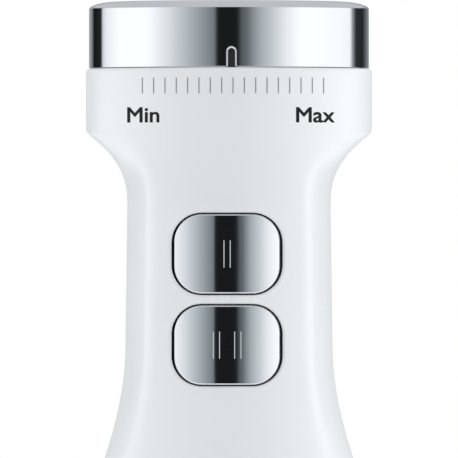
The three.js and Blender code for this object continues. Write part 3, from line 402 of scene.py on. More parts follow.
def cut_away(mesh, build_cutter, operation="DIFFERENCE"):
    """The mesh with a closed cutter taken out of it, shaded as it was elsewhere."""
    smooth = mesh.copy()
    cutter_mesh = mesh_of("cutter", build_cutter)
    whole = bpy.data.objects.new("whole", mesh)
    cutter = bpy.data.objects.new("cutter", cutter_mesh)
    for obj in (whole, cutter):
        bpy.context.scene.collection.objects.link(obj)
    modifier = whole.modifiers.new("cut", "BOOLEAN")
    modifier.operation = operation
    modifier.solver = "EXACT"
    modifier.object = cutter
    bpy.context.view_layer.update()
    done = bpy.data.meshes.new_from_object(whole.evaluated_get(bpy.context.evaluated_depsgraph_get()))
    for obj in (whole, cutter):
        bpy.data.objects.remove(obj)
    if not done.polygons:
        raise RuntimeError("a cut left nothing of a piece")
    done.shade_smooth()
    done.set_sharp_from_angle(angle=math.radians(32))
    shaded_like(done, smooth)
    done.name = mesh.name
    return done


# ---------------------------------------------------------------- shader groups


class Nodes:
    """Short calls for the nodes of one tree."""

    def __init__(self, tree):
        self.tree = tree
        tree.nodes.clear()

    def add(self, kind, settings=None, **inputs):
        node = self.tree.nodes.new(kind)
        for key, value in (settings or {}).items():
            setattr(node, key, value)
        for key, value in inputs.items():
            self.feed(node, key.replace("_", " "), value)
        return node

    def feed(self, node, key, value):
        socket = node.inputs[int(key)] if key.isdigit() else node.inputs[key]
        if isinstance(value, bpy.types.NodeSocket):
            self.tree.links.new(value, socket)
        else:
            socket.default_value = value

    def math(self, operation, first, second=0.0, clamp=False):
        node = self.add("ShaderNodeMath", {"operation": operation, "use_clamp": clamp})
        self.feed(node, "0", first)
        self.feed(node, "1", second)
        return node.outputs[0]

    def ranged(self, value, low, high, to_low=0.0, to_high=1.0):
        node = self.add("ShaderNodeMapRange", Value=value)
        for key, number in (("From Min", low), ("From Max", high), ("To Min", to_low), ("To Max", to_high)):
            self.feed(node, key, number)
        return node.outputs["Result"]

    def mixed(self, factor, first, second):
        node = self.add("ShaderNodeMix", {"data_type": "RGBA"})
        self.feed(node, "0", factor)
        self.feed(node, "6", first)
        self.feed(node, "7", second)
        return node.outputs[2]

    def noise(self, vector, scale, detail=2.0, roughness=0.5):
        node = self.add("ShaderNodeTexNoise", Vector=vector, Scale=scale, Detail=detail, Roughness=roughness)
        return node.outputs[0]


def group_named(name, sockets_in, sockets_out, fill):
    """A shader node group, built once; fill(nodes, inputs) returns its outputs by name."""
    made = bpy.data.node_groups.get(name)
    if made:
        return made
    tree = bpy.data.node_groups.new(name, "ShaderNodeTree")
    for label, kind, default in sockets_in:
        socket = tree.interface.new_socket(label, in_out="INPUT", socket_type=f"NodeSocket{kind}")
        if default is not None:
            socket.default_value = default
    for label, kind in sockets_out:
        tree.interface.new_socket(label, in_out="OUTPUT", socket_type=f"NodeSocket{kind}")
    nodes = Nodes(tree)
    inputs = nodes.add("NodeGroupInput").outputs
    outputs = nodes.add("NodeGroupOutput")
    for label, value in fill(nodes, inputs).items():
        nodes.feed(outputs, label, value)
    return tree


def moulded_skin():
    """Faint waviness and gloss variation of a moulded surface."""

    def fill(nodes, inputs):
        where = inputs["Vector"]
        wave = nodes.noise(where, inputs["Wave scale"], 1.0)
        grain = nodes.noise(where, inputs["Grain scale"], 3.0)
        height = nodes.math("ADD", wave, nodes.math("MULTIPLY", grain, inputs["Grain share"]))
        spread = nodes.math("SUBTRACT", nodes.noise(where, inputs["Smudge scale"], 4.0, 0.6), 0.5)
        roughness = nodes.math(
            "ADD", inputs["Roughness"], nodes.math("MULTIPLY", spread, inputs["Smudge"]), clamp=True
        )
        return {"Height": height, "Roughness": roughness, "Cloud": nodes.ranged(wave, 0.3, 0.7)}

    return group_named(
        "Moulded skin",
        [
            ("Vector", "Vector", None),
            ("Wave scale", "Float", 60.0),
            ("Grain scale", "Float", 900.0),
            ("Grain share", "Float", 0.1),
            ("Smudge scale", "Float", 90.0),
            ("Smudge", "Float", 0.06),
            ("Roughness", "Float", 0.3),
        ],
        [("Height", "Float"), ("Roughness", "Float"), ("Cloud", "Float")],
        fill,
    )


def drawn_grain():
    """Fine parallel lines, as brushing or turning leaves them, running across the stretch."""

    def fill(nodes, inputs):
        stretched = nodes.add("ShaderNodeVectorMath", {"operation": "MULTIPLY"})
        nodes.feed(stretched, "0", inputs["Vector"])
        nodes.feed(stretched, "1", inputs["Stretch"])
        fine = nodes.noise(stretched.outputs[0], 1.0, 4.0, 0.6)
        broad = nodes.noise(stretched.outputs[0], 0.22, 2.0, 0.5)
        both = nodes.math("ADD", nodes.math("MULTIPLY", fine, 0.6), nodes.math("MULTIPLY", broad, 0.4))
        spread = nodes.math("MULTIPLY", nodes.math("SUBTRACT", both, 0.5), inputs["Spread"])
        return {
            "Height": both,
            "Roughness": nodes.math("ADD", inputs["Roughness"], spread, clamp=True),
            "Streak": nodes.ranged(both, 0.35, 0.65),
        }

    return group_named(
        "Drawn grain",
        [
            ("Vector", "Vector", None),
            ("Stretch", "Vector", (200.0, 200.0, 6000.0)),
            ("Roughness", "Float", 0.25),
            ("Spread", "Float", 0.3),
        ],
        [("Height", "Float"), ("Roughness", "Float"), ("Streak", "Float")],
        fill,
    )


def rubbed_edge():
    """A mask along the convex edges, broken up as rubbing breaks it up."""

    def fill(nodes, inputs):
        bend = nodes.add("ShaderNodeNewGeometry").outputs["Pointiness"]
        edge = nodes.ranged(bend, 0.52, 0.62)
        patch = nodes.ranged(nodes.noise(inputs["Vector"], inputs["Patch scale"], 3.0), 0.35, 0.65)
        return {"Mask": nodes.math("MULTIPLY", nodes.math("MULTIPLY", edge, patch), inputs["Amount"])}

    return group_named(
        "Rubbed edge",
        [("Vector", "Vector", None), ("Patch scale", "Float", 250.0), ("Amount", "Float", 0.4)],
        [("Mask", "Float")],
        fill,
    )


# ---------------------------------------------------------------- materials


def shaded(colour):
    return (*colour, 1.0)


def darker(colour, share):
    return tuple(c * share for c in colour)


def new_material(name):
    """A material with an empty tree, its principled shader and the rest-frame coordinate."""
    material = bpy.data.materials.new(name)
    material.use_nodes = True
    nodes = Nodes(material.node_tree)
    shader = nodes.add("ShaderNodeBsdfPrincipled")
    output = nodes.add("ShaderNodeOutputMaterial", Surface=shader.outputs[0])
    output.is_active_output = True
    where = nodes.add("ShaderNodeTexCoord").outputs["Object"]
    return material, nodes, shader, where


def use_group(nodes, group, **inputs):
    node = nodes.add("ShaderNodeGroup", {"node_tree": group})
    for key, value in inputs.items():
        nodes.feed(node, key.replace("_", " "), value)
    return node.outputs


def bumped(nodes, shader, height, strength, distance):
    bump = nodes.add("ShaderNodeBump", Height=height, Strength=strength, Distance=distance)
    nodes.feed(shader, "Normal", bump.outputs[0])


def moulded(name, colour, roughness, smudge=0.05, grain_share=0.12, bump=0.02, wear=0.25):
    """Injection-moulded plastic."""
    material, nodes, shader, where = new_material(name)
    skin = use_group(
        nodes, moulded_skin(), Vector=where, Grain_share=grain_share, Smudge=smudge, Roughness=roughness
    )
    edge = use_group(nodes, rubbed_edge(), Vector=where, Amount=wear)["Mask"]
    cloudy = nodes.mixed(skin["Cloud"], shaded(darker(colour, 0.985)), shaded(colour))
    paler = tuple(min(1.0, c * 1.03 + 0.012) for c in colour)
    nodes.feed(shader, "Base Color", nodes.mixed(edge, cloudy, shaded(paler)))
    nodes.feed(shader, "Roughness", skin["Roughness"])
    nodes.feed(shader, "IOR", 1.5)
    bumped(nodes, shader, skin["Height"], bump, 0.0004)
    return material


def plated(name, colour, roughness):
    """Bright chrome plating over plastic."""
    material, nodes, shader, where = new_material(name)
    skin = use_group(
        nodes,
        moulded_skin(),
        Vector=where,
        Wave_scale=25.0,
        Grain_share=0.02,
        Smudge=0.02,
        Roughness=roughness,
    )
    nodes.feed(shader, "Base Color", nodes.mixed(skin["Cloud"], shaded(darker(colour, 0.99)), shaded(colour)))
    nodes.feed(shader, "Metallic", 1.0)
    nodes.feed(shader, "Roughness", skin["Roughness"])
    bumped(nodes, shader, skin["Height"], 0.01, 0.0002)
    return material


def brushed(name, colour, roughness, stretch, spread=0.25, bump=0.08, wear=0.3):
    """Metal with drawn, turned or brushed lines."""
    material, nodes, shader, where = new_material(name)
    grain = use_group(
        nodes, drawn_grain(), Vector=where, Stretch=stretch, Roughness=roughness, Spread=spread
    )
    edge = use_group(nodes, rubbed_edge(), Vector=where, Amount=wear)["Mask"]
    streaked = nodes.mixed(grain["Streak"], shaded(darker(colour, 0.93)), shaded(colour))
    bright = tuple(min(1.0, c * 1.12) for c in colour)
    nodes.feed(shader, "Base Color", nodes.mixed(edge, streaked, shaded(bright)))
    nodes.feed(shader, "Metallic", 1.0)
    nodes.feed(shader, "Roughness", grain["Roughness"])
    bumped(nodes, shader, grain["Height"], bump, 0.0001)
    return material


def wound(name, colour, pitch, along):
    """Enamelled wire laid side by side; along is the axis that the turns follow each other on."""
    material, nodes, shader, where = new_material(name)
    split = nodes.add("ShaderNodeSeparateXYZ", Vector=where)
    turns = nodes.math("MULTIPLY", split.outputs[along], FULL_TURN / pitch)
    wander = nodes.math("MULTIPLY", nodes.noise(where, 160.0), 3.0)
    height = nodes.ranged(nodes.math("SINE", nodes.math("ADD", turns, wander)), -1.0, 1.0)
    skin = use_group(nodes, moulded_skin(), Vector=where, Roughness=0.3, Smudge=0.1)
    # Painted shade: the base colour falls to 35 % in the valleys between the turns, where shade falls between
    # the round wires.
    nodes.feed(shader, "Base Color", nodes.mixed(height, shaded(darker(colour, 0.35)), shaded(colour)))
    nodes.feed(shader, "Metallic", 0.8)
    nodes.feed(shader, "Roughness", skin["Roughness"])
    nodes.feed(shader, "Coat Weight", 0.4)
    bumped(nodes, shader, height, 0.5, 0.0002)
    return material


def laminated(name, colour, pitch):
    """Stacked electrical sheet."""
    material, nodes, shader, where = new_material(name)
    split = nodes.add("ShaderNodeSeparateXYZ", Vector=where)
    sheets = nodes.math("SINE", nodes.math("MULTIPLY", split.outputs[2], FULL_TURN / pitch))
    line = nodes.ranged(sheets, -1.0, 0.2)
    grain = use_group(
        nodes, drawn_grain(), Vector=where, Stretch=(900.0, 900.0, 900.0), Roughness=0.42, Spread=0.3
    )
    nodes.feed(shader, "Base Color", nodes.mixed(line, shaded(darker(colour, 0.4)), shaded(colour)))
    nodes.feed(shader, "Metallic", 0.9)
    nodes.feed(shader, "Roughness", grain["Roughness"])
    bumped(nodes, shader, line, 0.4, 0.0001)
    return material


def circuit(name):
    """Solder-masked laminate with copper tracks under the mask."""
    material, nodes, shader, where = new_material(name)
    cells = nodes.add("ShaderNodeTexVoronoi", {"distance": "MANHATTAN"}, Vector=where, Scale=420.0)
    track = nodes.ranged(cells.outputs["Distance"], 0.42, 0.46)
    skin = use_group(nodes, moulded_skin(), Vector=where, Roughness=0.35, Smudge=0.12)
    nodes.feed(shader, "Base Color", nodes.mixed(track, (0.01, 0.09, 0.035, 1), (0.03, 0.2, 0.08, 1)))
    nodes.feed(shader, "Roughness", skin["Roughness"])
    bumped(nodes, shader, track, 0.15, 0.0001)
    return material


def printed(name, colour):
    """Pad-printed ink, with the slight unevenness of its film."""
    material, nodes, shader, where = new_material(name)
    film = nodes.noise(where, 1500.0, 3.0)
    nodes.feed(shader, "Base Color", nodes.mixed(film, shaded(darker(colour, 0.9)), shaded(colour)))
    nodes.feed(shader, "Roughness", nodes.ranged(film, 0.3, 0.7, 0.32, 0.42))
    nodes.feed(shader, "Specular IOR Level", 0.15)
    bumped(nodes, shader, film, 0.05, 0.00005)
    return material


MATERIALS = {}


def finish(name):
    """The named material, made when it is first asked for."""
    if name not in MATERIALS:
        housing = bpy.context.scene.blender_housing
        shaft = bpy.context.scene.blender_shaft
        steel = tuple(shaft.steel)
        makers = {
            "white_housing": lambda: moulded(name, tuple(housing.colour), housing.roughness),
            "chrome_trim": lambda: plated(name, (0.9, 0.91, 0.93), 0.03),
            "black_plastic": lambda: moulded(name, (0.012, 0.012, 0.013), 0.4, bump=0.1),
            "grey_plastic": lambda: moulded(name, (0.3, 0.31, 0.33), 0.38, bump=0.12),
            "black_rubber": lambda: moulded(name, (0.014, 0.014, 0.015), 0.72, grain_share=0.6, bump=0.35),
            "steel_laminations": lambda: laminated(name, (0.22, 0.23, 0.24), 0.001),
            "copper": lambda: wound(name, (0.55, 0.2, 0.07), 0.0006, 2),
            "brass_strip": lambda: brushed(name, (0.68, 0.46, 0.18), 0.3, (2500.0, 300.0, 300.0)),
            "sintered_bronze": lambda: brushed(name, (0.4, 0.26, 0.12), 0.5, (1800.0,) * 3, bump=0.2),
            "carbon": lambda: moulded(name, (0.02, 0.02, 0.022), 0.6, grain_share=0.5, bump=0.3),
            "circuit_board": lambda: circuit(name),
            "polyester_film": lambda: moulded(name, (0.05, 0.13, 0.42), 0.28, bump=0.15),
            "plain_aluminium": lambda: brushed(name, (0.72, 0.72, 0.73), 0.32, (300.0, 300.0, 2500.0)),
            "plain_steel": lambda: brushed(name, (0.52, 0.52, 0.53), 0.24, (600.0, 600.0, 4200.0)),
            "stainless_steel": lambda: brushed(name, steel, 0.2, (90.0, 90.0, 5200.0), 0.16, 0.04),
            "ground_steel": lambda: brushed(name, steel, 0.26, (4200.0, 160.0, 160.0), 0.3, 0.1),
            "scale_ink": lambda: printed(name, tuple(bpy.context.scene.blender_scale.ink)),
            "tick_ink": lambda: printed(name, (0.3, 0.3, 0.31)),
        }
        MATERIALS[name] = makers[name]()
    return MATERIALS[name]


# ---------------------------------------------------------------- casing surface


def smooth_min(first, second, soft):
    """The smaller of two values, blended where they come within soft of each other."""
    near = np.maximum(soft - np.abs(first - second), 0) / soft
    return np.minimum(first, second) - near * near * soft / 4


def barrel_radius(z, h):
    """Radius of the round barrel with its bottom taper and its rounded top edge."""
    taper = np.clip((z - HANDLE_LOW) / h.taper_height, 0, 1)
    radius = h.bottom_radius + (h.radius - h.bottom_radius) * taper * (2 - taper)
    into_edge = np.clip(z - BAND_TOP + h.edge, 0, h.edge)
    return radius - h.edge + np.sqrt(h.edge**2 - into_edge**2)


def casing_radius(x, y, z, h):
    """How far out the casing is in a direction (unit x and y) at a height."""
    waist_top = BAND_TOP - h.band_height - h.shoulder
    waist_low = waist_top - h.straight
    above = np.maximum(z - waist_top, 0) / h.shoulder
    under = np.maximum(waist_low - z, 0) / h.flare
    growth = above**SHOULDER_BEND + under**FLARE_BEND
    slimmest = h.waist_half + h.widening * np.clip((waist_top - z) / h.straight, 0, 1)
    half = slimmest + (h.radius - slimmest) * growth
    front_reach = FRONT_REACH - FRONT_LOSS * np.minimum(growth, 1)
    back_reach = BACK_REACH + (h.radius - BACK_REACH) * growth
    reach = np.where(y < 0, front_reach, back_reach)
    fullness = np.where(y < 0, FRONT_FULLNESS, BACK_FULLNESS)
    oval = (np.abs(x / half) ** fullness + np.abs(y / reach) ** fullness) ** (-1 / fullness)
    return smooth_min(barrel_radius(z, h), oval, RIDGE)


def face_depth(x, h, proud=0.0):
    """Y of the front face of the barrel at a sideways place."""
    return -math.sqrt((h.radius + proud) ** 2 - x**2)


def casing_mesh(h):
    """The whole casing as one closed skin: outside, rims and inside."""
    angles = np.arange(CASING_TURN) * FULL_TURN / CASING_TURN
    cosines, sines = np.cos(angles), np.sin(angles)
    waist_top = BAND_TOP - h.band_height - h.shoulder
    waist_low = waist_top - h.straight
    edge_low = BAND_TOP - h.edge
    socket_radius = highs("coupling_socket").x - 2.4 * MM + FIT
    floor = HANDLE_LOW + 3 * MM
    rows = [("round", HANDLE_LOW, socket_radius)]
    for rise, inset in ((0.0, 0.5), (0.15, 0.22), (0.4, 0.06), (0.6, 0.0)):
        rows.append(("outside", HANDLE_LOW + rise * MM, inset * MM))
    flare_low = waist_low - 1.05 * h.flare
    shoulder_top = waist_top + 1.05 * h.shoulder
    heights = np.concatenate(
        [
            np.linspace(HANDLE_LOW + 1.2 * MM, flare_low, 44),
            np.linspace(flare_low, waist_low, 30)[1:],
            np.linspace(waist_low, waist_top, 10)[1:],
            np.linspace(waist_top, shoulder_top, 34)[1:],
            np.linspace(shoulder_top, edge_low, 4)[1:],
            edge_low + h.edge * np.sin(np.linspace(0, QUARTER, 8))[1:],
        ]
    )
    rows += [("outside", z, 0.0) for z in heights]
    rows.append(("rim", BAND_TOP, h.wall))
    rows += [("outside", z, h.wall) for z in np.linspace(edge_low, floor, 60)]
    rows.append(("round", floor, socket_radius))

    def build(bm):
        rings = []
        for kind, z, size in rows:
            if kind == "round":
                radii = np.full(CASING_TURN, size)
            else:
                level = min(z, edge_low) if kind == "rim" else z
                radii = casing_radius(cosines, sines, np.full(CASING_TURN, level), h) - size
            rings.append([bm.verts.new((r * c, r * s, z)) for r, c, s in zip(radii, cosines, sines)])
        bridge(bm, rings, closed_rows=True)

    return mesh_of("casing", build)


def half_of(mesh, front):
    """The part of the casing on one side of the parting plane."""
    keep_low, keep_high = (-1.0, PARTING_Y - PARTING_GAP / 2) if front else (PARTING_Y + PARTING_GAP / 2, 1.0)
    block = rounded_rectangle(0.2, 0.6, 1e-5, 1)

    def build(bm):
        prism(bm, block, lambda u, v, depth: Vector((u, depth, v + BAND_TOP)), keep_low, keep_high)

    return cut_away(mesh, build, "INTERSECT")


def button_middle(name):
    """Height of the middle of a button's cap."""
    low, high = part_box(f"button_{name}")
    return (low.z + high.z) / 2 + BUTTON_RISE[name]


def window_outline(b, grow):
    """Outline of a button's window, grown from the cap's."""
    return rounded_rectangle(b.width + 2 * grow, b.height + 2 * (grow - b.snug), b.corner + grow, 14)


def release_face(low, high):
    """Width and height of the part of a release button that shows."""
    return high.y - low.y - 2 * RELEASE_FLANGE[0], high.z - low.z - 2 * RELEASE_FLANGE[1]


class BLENDER_OT_housing(Operator):
    """Build the front and rear casing shells with their openings"""

    bl_idname = "blender_build.housing"
    bl_label = "Housing"

    INSIDE, OUTSIDE = 20 * MM, 40 * MM  # depths that a cut through the wall spans
    GLAND_RECESS = 1.8 * MM  # how far the gland's head is let into the rear shell

    def execute(self, context):
        h = context.scene.blender_housing
        b = context.scene.blender_button
        whole = casing_mesh(h)
        white = finish("white_housing")
        front = cut_away(half_of(whole, True), lambda bm: self.front_openings(bm, b))
        rear = cut_away(half_of(whole, False), lambda bm: self.rear_openings(bm, h))
        add_piece("housing_front", front, white, "handle", ["front_housing"])
        add_piece("housing_rear", rear, white, "handle", ["rear_housing"])
        for name in BUTTONS:
            self.window_edge(name, h, b)
        return {"FINISHED"}

    def release_cut(self, bm):
        """Windows of the two release buttons."""
        for side in ("left", "right"):
            low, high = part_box(f"release_button_{side}")
            middle = (low.z + high.z) / 2
            width, height = release_face(low, high)
            place = facing(QUARTER if side == "right" else -QUARTER)
            outline = rounded_rectangle(width + 2 * RELEASE_GAP, height + 2 * RELEASE_GAP, 1.6 * MM, 6)
            prism(bm, [(u, v + middle) for u, v in outline], place, self.INSIDE, self.OUTSIDE)

    def screw_cut(self, bm):
        """Wells of the four screws."""
        for i in range(1, 5):
            low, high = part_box(f"housing_screw_{i}")
            middle = (low + high) / 2
            well = circle((high.x - low.x) / 2 + FIT, 32)
            outline = [(u + middle.x, v + middle.z) for u, v in well]
            prism(bm, outline, lambda u, v, depth: Vector((u, depth, v)), high.y - 2.3 * MM, self.OUTSIDE)

    def front_openings(self, bm, b):
        """Windows of the push buttons and release buttons."""
        for name in BUTTONS:
            z = button_middle(name)
            outline = [(u + b.aside, v + z) for u, v in evened(window_outline(b, b.gap + LIP), MM)]
            prism(bm, outline, facing(0), self.INSIDE, self.OUTSIDE)
        self.release_cut(bm)

    def rear_openings(self, bm, h):
        """Release windows, screw wells, the gland's bore and the two rows of vents."""
        self.release_cut(bm)
        self.screw_cut(bm)
        gland_low, gland_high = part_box("cord_gland")
        middle = (gland_low.z + gland_high.z) / 2
        step = gland_high.y - self.GLAND_RECESS
        for radius, near, far in (
            (5.5 * MM, self.INSIDE, step + 0.01 * MM),
            (7.3 * MM, step, self.OUTSIDE),
        ):
            outline = [(u, v + middle) for u, v in circle(radius, 64, -1)]
            prism(bm, outline, facing(math.pi), near, far)
        motor_low = lows("lower_motor_bracket").z
        waist_top = BAND_TOP - h.band_height - h.shoulder
        for count, low, high in (
            (7, motor_low + 4 * MM, motor_low + 17 * MM),
            (5, waist_top + 2 * MM, waist_top + 9 * MM),
        ):
            slit = rounded_rectangle(2.4 * MM, high - low, 1.15 * MM, 6)
            for i in range(count):
                x = (i - (count - 1) / 2) * 5 * MM
                outline = [(u - x, v + (low + high) / 2) for u, v in slit]
                prism(bm, outline, facing(math.pi), 12 * MM, self.OUTSIDE)

    def window_edge(self, name, h, b):
        """The rolled lip of a button's window, and the dark sleeve behind it."""
        z = button_middle(name)
        sleeve_back = lows("button_bezel").y + 2.6 * MM

        def lip(bm):
            rings = []
            turn = np.linspace(0, QUARTER, 6)
            profile = [(LIP * (1 - math.sin(a)), LIP * (1 - math.cos(a))) for a in turn]
            profile += [(0.0, 2.0 * LIP), (LIP * 0.9, 2.0 * LIP)]
            for out, deep in profile:
                wider = evened(window_outline(b, b.gap + out), MM)
                places = [(u + b.aside, v + z) for u, v in wider]
                rings.append([bm.verts.new((u, face_depth(u, h) + deep, v)) for u, v in places])
            bridge(bm, rings, closed_rows=True)

        def sleeve(bm):
            outer = window_outline(b, b.gap + 0.9 * LIP)
            inner = window_outline(b, b.gap + 0.1 * LIP)
            corners = [(outer, True), (outer, False), (inner, False), (inner, True)]
            rings = []
            for outline, is_front in corners:
                ring = []
                for u, v in outline:
                    y = face_depth(u, h) + 2.1 * LIP if is_front else sleeve_back
                    ring.append(bm.verts.new((u + b.aside, y, v + z)))
                rings.append(ring)
            bridge(bm, rings, closed_rows=True)

        white, black = finish("white_housing"), finish("black_plastic")
        add_piece(f"window_lip_{name}", mesh_of("lip", lip), white, "handle")
        add_piece(f"window_sleeve_{name}", mesh_of("sleeve", sleeve), black, "handle")


# ---------------------------------------------------------------- dial


class BLENDER_OT_dial(Operator):
    """Build the chrome speed dial with its pointer notch"""

    bl_idname = "blender_build.dial"
    bl_label = "Speed dial"

    HANG = 0.24 * MM  # how far its lower edge hangs below the frame's cover
    SINK = 0.2 * MM  # how far its crown stays below the frame's cover

    def execute(self, context):
        d = context.scene.blender_dial
        radius = highs("dial_cover").x
        top = DIAL_TOP - self.SINK
        crown_low = top - d.crown
        low = DIAL_LOW - self.HANG
        outline = [(radius - 0.1 * MM, low), (radius - 0.03 * MM, low + 0.03 * MM), (radius, low + 0.1 * MM)]
        outline += [(radius, low + 0.13 * MM), (radius, low + 0.3 * MM)]
        outline += [(radius, z) for z in np.linspace(DIAL_LOW + 1 * MM, crown_low, 12)]
        for a in np.concatenate([np.linspace(0, 0.3, 12)[1:], np.linspace(0.3, QUARTER, 22)[1:]]):
            out = radius - d.crown_inset * (1 - math.cos(a))
            outline.append((out, crown_low + 0.9 * d.crown * math.sin(a)))
        edge = outline[-1]
        for share in (0.75, 0.5, 0.25, 0.1, 0.0):
            outline.append((edge[0] * share, top - (top - edge[1]) * share * share))
        roof = crown_low - d.wall + 0.9 * MM
        inner = radius - d.wall
        outline += [(0, roof), (inner - 4 * MM, roof), (inner, roof - 2 * MM), (inner, low)]
        cover = mesh_of("dial", lambda bm: turned(bm, outline, 256))
        place = facing(d.pointer_turn)
        notch = self.notch(d, 0.0)
        cover = cut_away(cover, lambda bm: prism(bm, notch, place, radius - 0.8 * MM, radius + MM))
        add_piece("dial", cover, finish("chrome_trim"), "dial", ["dial_cover"])

        def rim(bm):
            path = self.notch(d, 0.27 * MM)
            rod(bm, [place(u, v, math.sqrt(radius**2 - u**2) - 0.3 * MM) for u, v in path], 0.25 * MM, 10)

        def inlay(bm):
            prism(bm, self.notch(d, 0.4 * MM), place, radius - 0.85 * MM, radius - 0.42 * MM)

        chrome, black = finish("chrome_trim"), finish("black_plastic")
        add_piece("pointer_rim", mesh_of("rim", rim), chrome, "dial")
        add_piece("pointer_inlay", mesh_of("inlay", inlay), black, "dial")
        return {"FINISHED"}

    def notch(self, d, inset):
        """The notch's outline: an arch that stands on the dial's lower edge."""
        reach = d.pointer_width / 2 - inset
        middle = DIAL_LOW + d.pointer_height - d.pointer_width / 2
        foot = DIAL_LOW - (0.5 * MM if inset == 0 else 0.2 * MM)
        arch = [(reach * math.cos(a), middle + reach * math.sin(a)) for a in np.linspace(0, math.pi, 18)]
        sides = np.linspace(middle, foot, 6)[1:]
        return [(reach, z) for z in sides[::-1]] + arch + [(-reach, z) for z in sides]


# ---------------------------------------------------------------- push buttons


class BLENDER_OT_buttons(Operator):
    """Build the two chrome push buttons with their engraved bars"""

    bl_idname = "blender_build.buttons"
    bl_label = "Push buttons"

    def execute(self, context):
        h = context.scene.blender_housing
        b = context.scene.blender_button
        for name, bars in BUTTONS.items():
            cap = mesh_of("cap", lambda bm: self.cap(bm, h, b, name), math.radians(40))
            ribs = mesh_of("ribs", lambda bm: self.ribs(bm, h, b, name, bars))
            node = f"button_{name}"
            add_piece(f"button_cap_{name}", cap, finish("chrome_trim"), node, [node])
            add_piece(f"button_bars_{name}", ribs, finish("chrome_trim"), node)
        return {"FINISHED"}

    def outline(self, b, grow):
        """Rounded rectangle whose straight sides are divided evenly."""
        points = rounded_rectangle(b.width + 2 * grow, b.height + 2 * grow, b.corner + grow, 18)
        divided = []
        for k in range(4):
            corner = points[19 * k : 19 * (k + 1)]
            following = points[(19 * (k + 1)) % len(points)]
            parts = 20 if k % 2 == 0 else 12
            divided += corner
            start, end = Vector(corner[-1]), Vector(following)
            divided += [tuple(start.lerp(end, i / parts)) for i in range(1, parts)]
        return divided

    def ribs(self, bm, h, b, name, bars):
        """Two fine upright ribs for each bar."""
        middle = button_middle(name)
        for i in range(bars):
            for side in (-1, 1):
                u = (i - (bars - 1) / 2) * b.bar_pitch + side * b.bar_width / 2
                y = self.face(u, h, b) + 0.3 * b.rib
                ends = (middle - b.bar_height / 2, middle + b.bar_height / 2)
                rod(bm, [Vector((u + b.aside, y, z)) for z in np.linspace(*ends, 5)], b.rib, 10)

    def face(self, u, h, b):
        """Y of the cap's front: rounder than the casing beyond its middle."""
        return face_depth(u, h, b.proud) + b.falling * max(abs(u) - b.flat_half, 0) ** 2

    def cap(self, bm, h, b, name):
        z = button_middle(name)
        back = highs(f"button_{name}").y
        flange = 1.2 * MM

        def vert(u, y, v):
            return bm.verts.new((u + b.aside, y, v + z))

        rings = [[vert(0, self.face(0, h, b), 0)]]
        top = self.outline(b, -b.rim)
        for share in np.linspace(0, 1, 70)[1:]:
            ring = [(u * share, v * share) for u, v in top]
            rings.append([vert(u, self.face(u, h, b), v) for u, v in ring])
        for a in np.linspace(0, QUARTER, 9)[1:]:
            outline = self.outline(b, -b.rim * (1 - math.sin(a)))
            sunk = b.rim * (1 - math.cos(a))
            rings.append([vert(u, self.face(u, h, b) + sunk, v) for u, v in outline])
        for grow, y in ((0, back - flange), (flange, back - flange), (flange, back), (-flange, back)):
            rings.append([vert(u, y, v) for u, v in self.outline(b, grow)])
        inner = self.outline(b, -flange)
        rings.append([vert(u, self.face(u, h, b) + 2 * MM, v) for u, v in inner])
        rings.append([vert(0, self.face(0, h, b) + 2 * MM, 0)])
        bridge(bm, rings)


# ---------------------------------------------------------------- printed scale


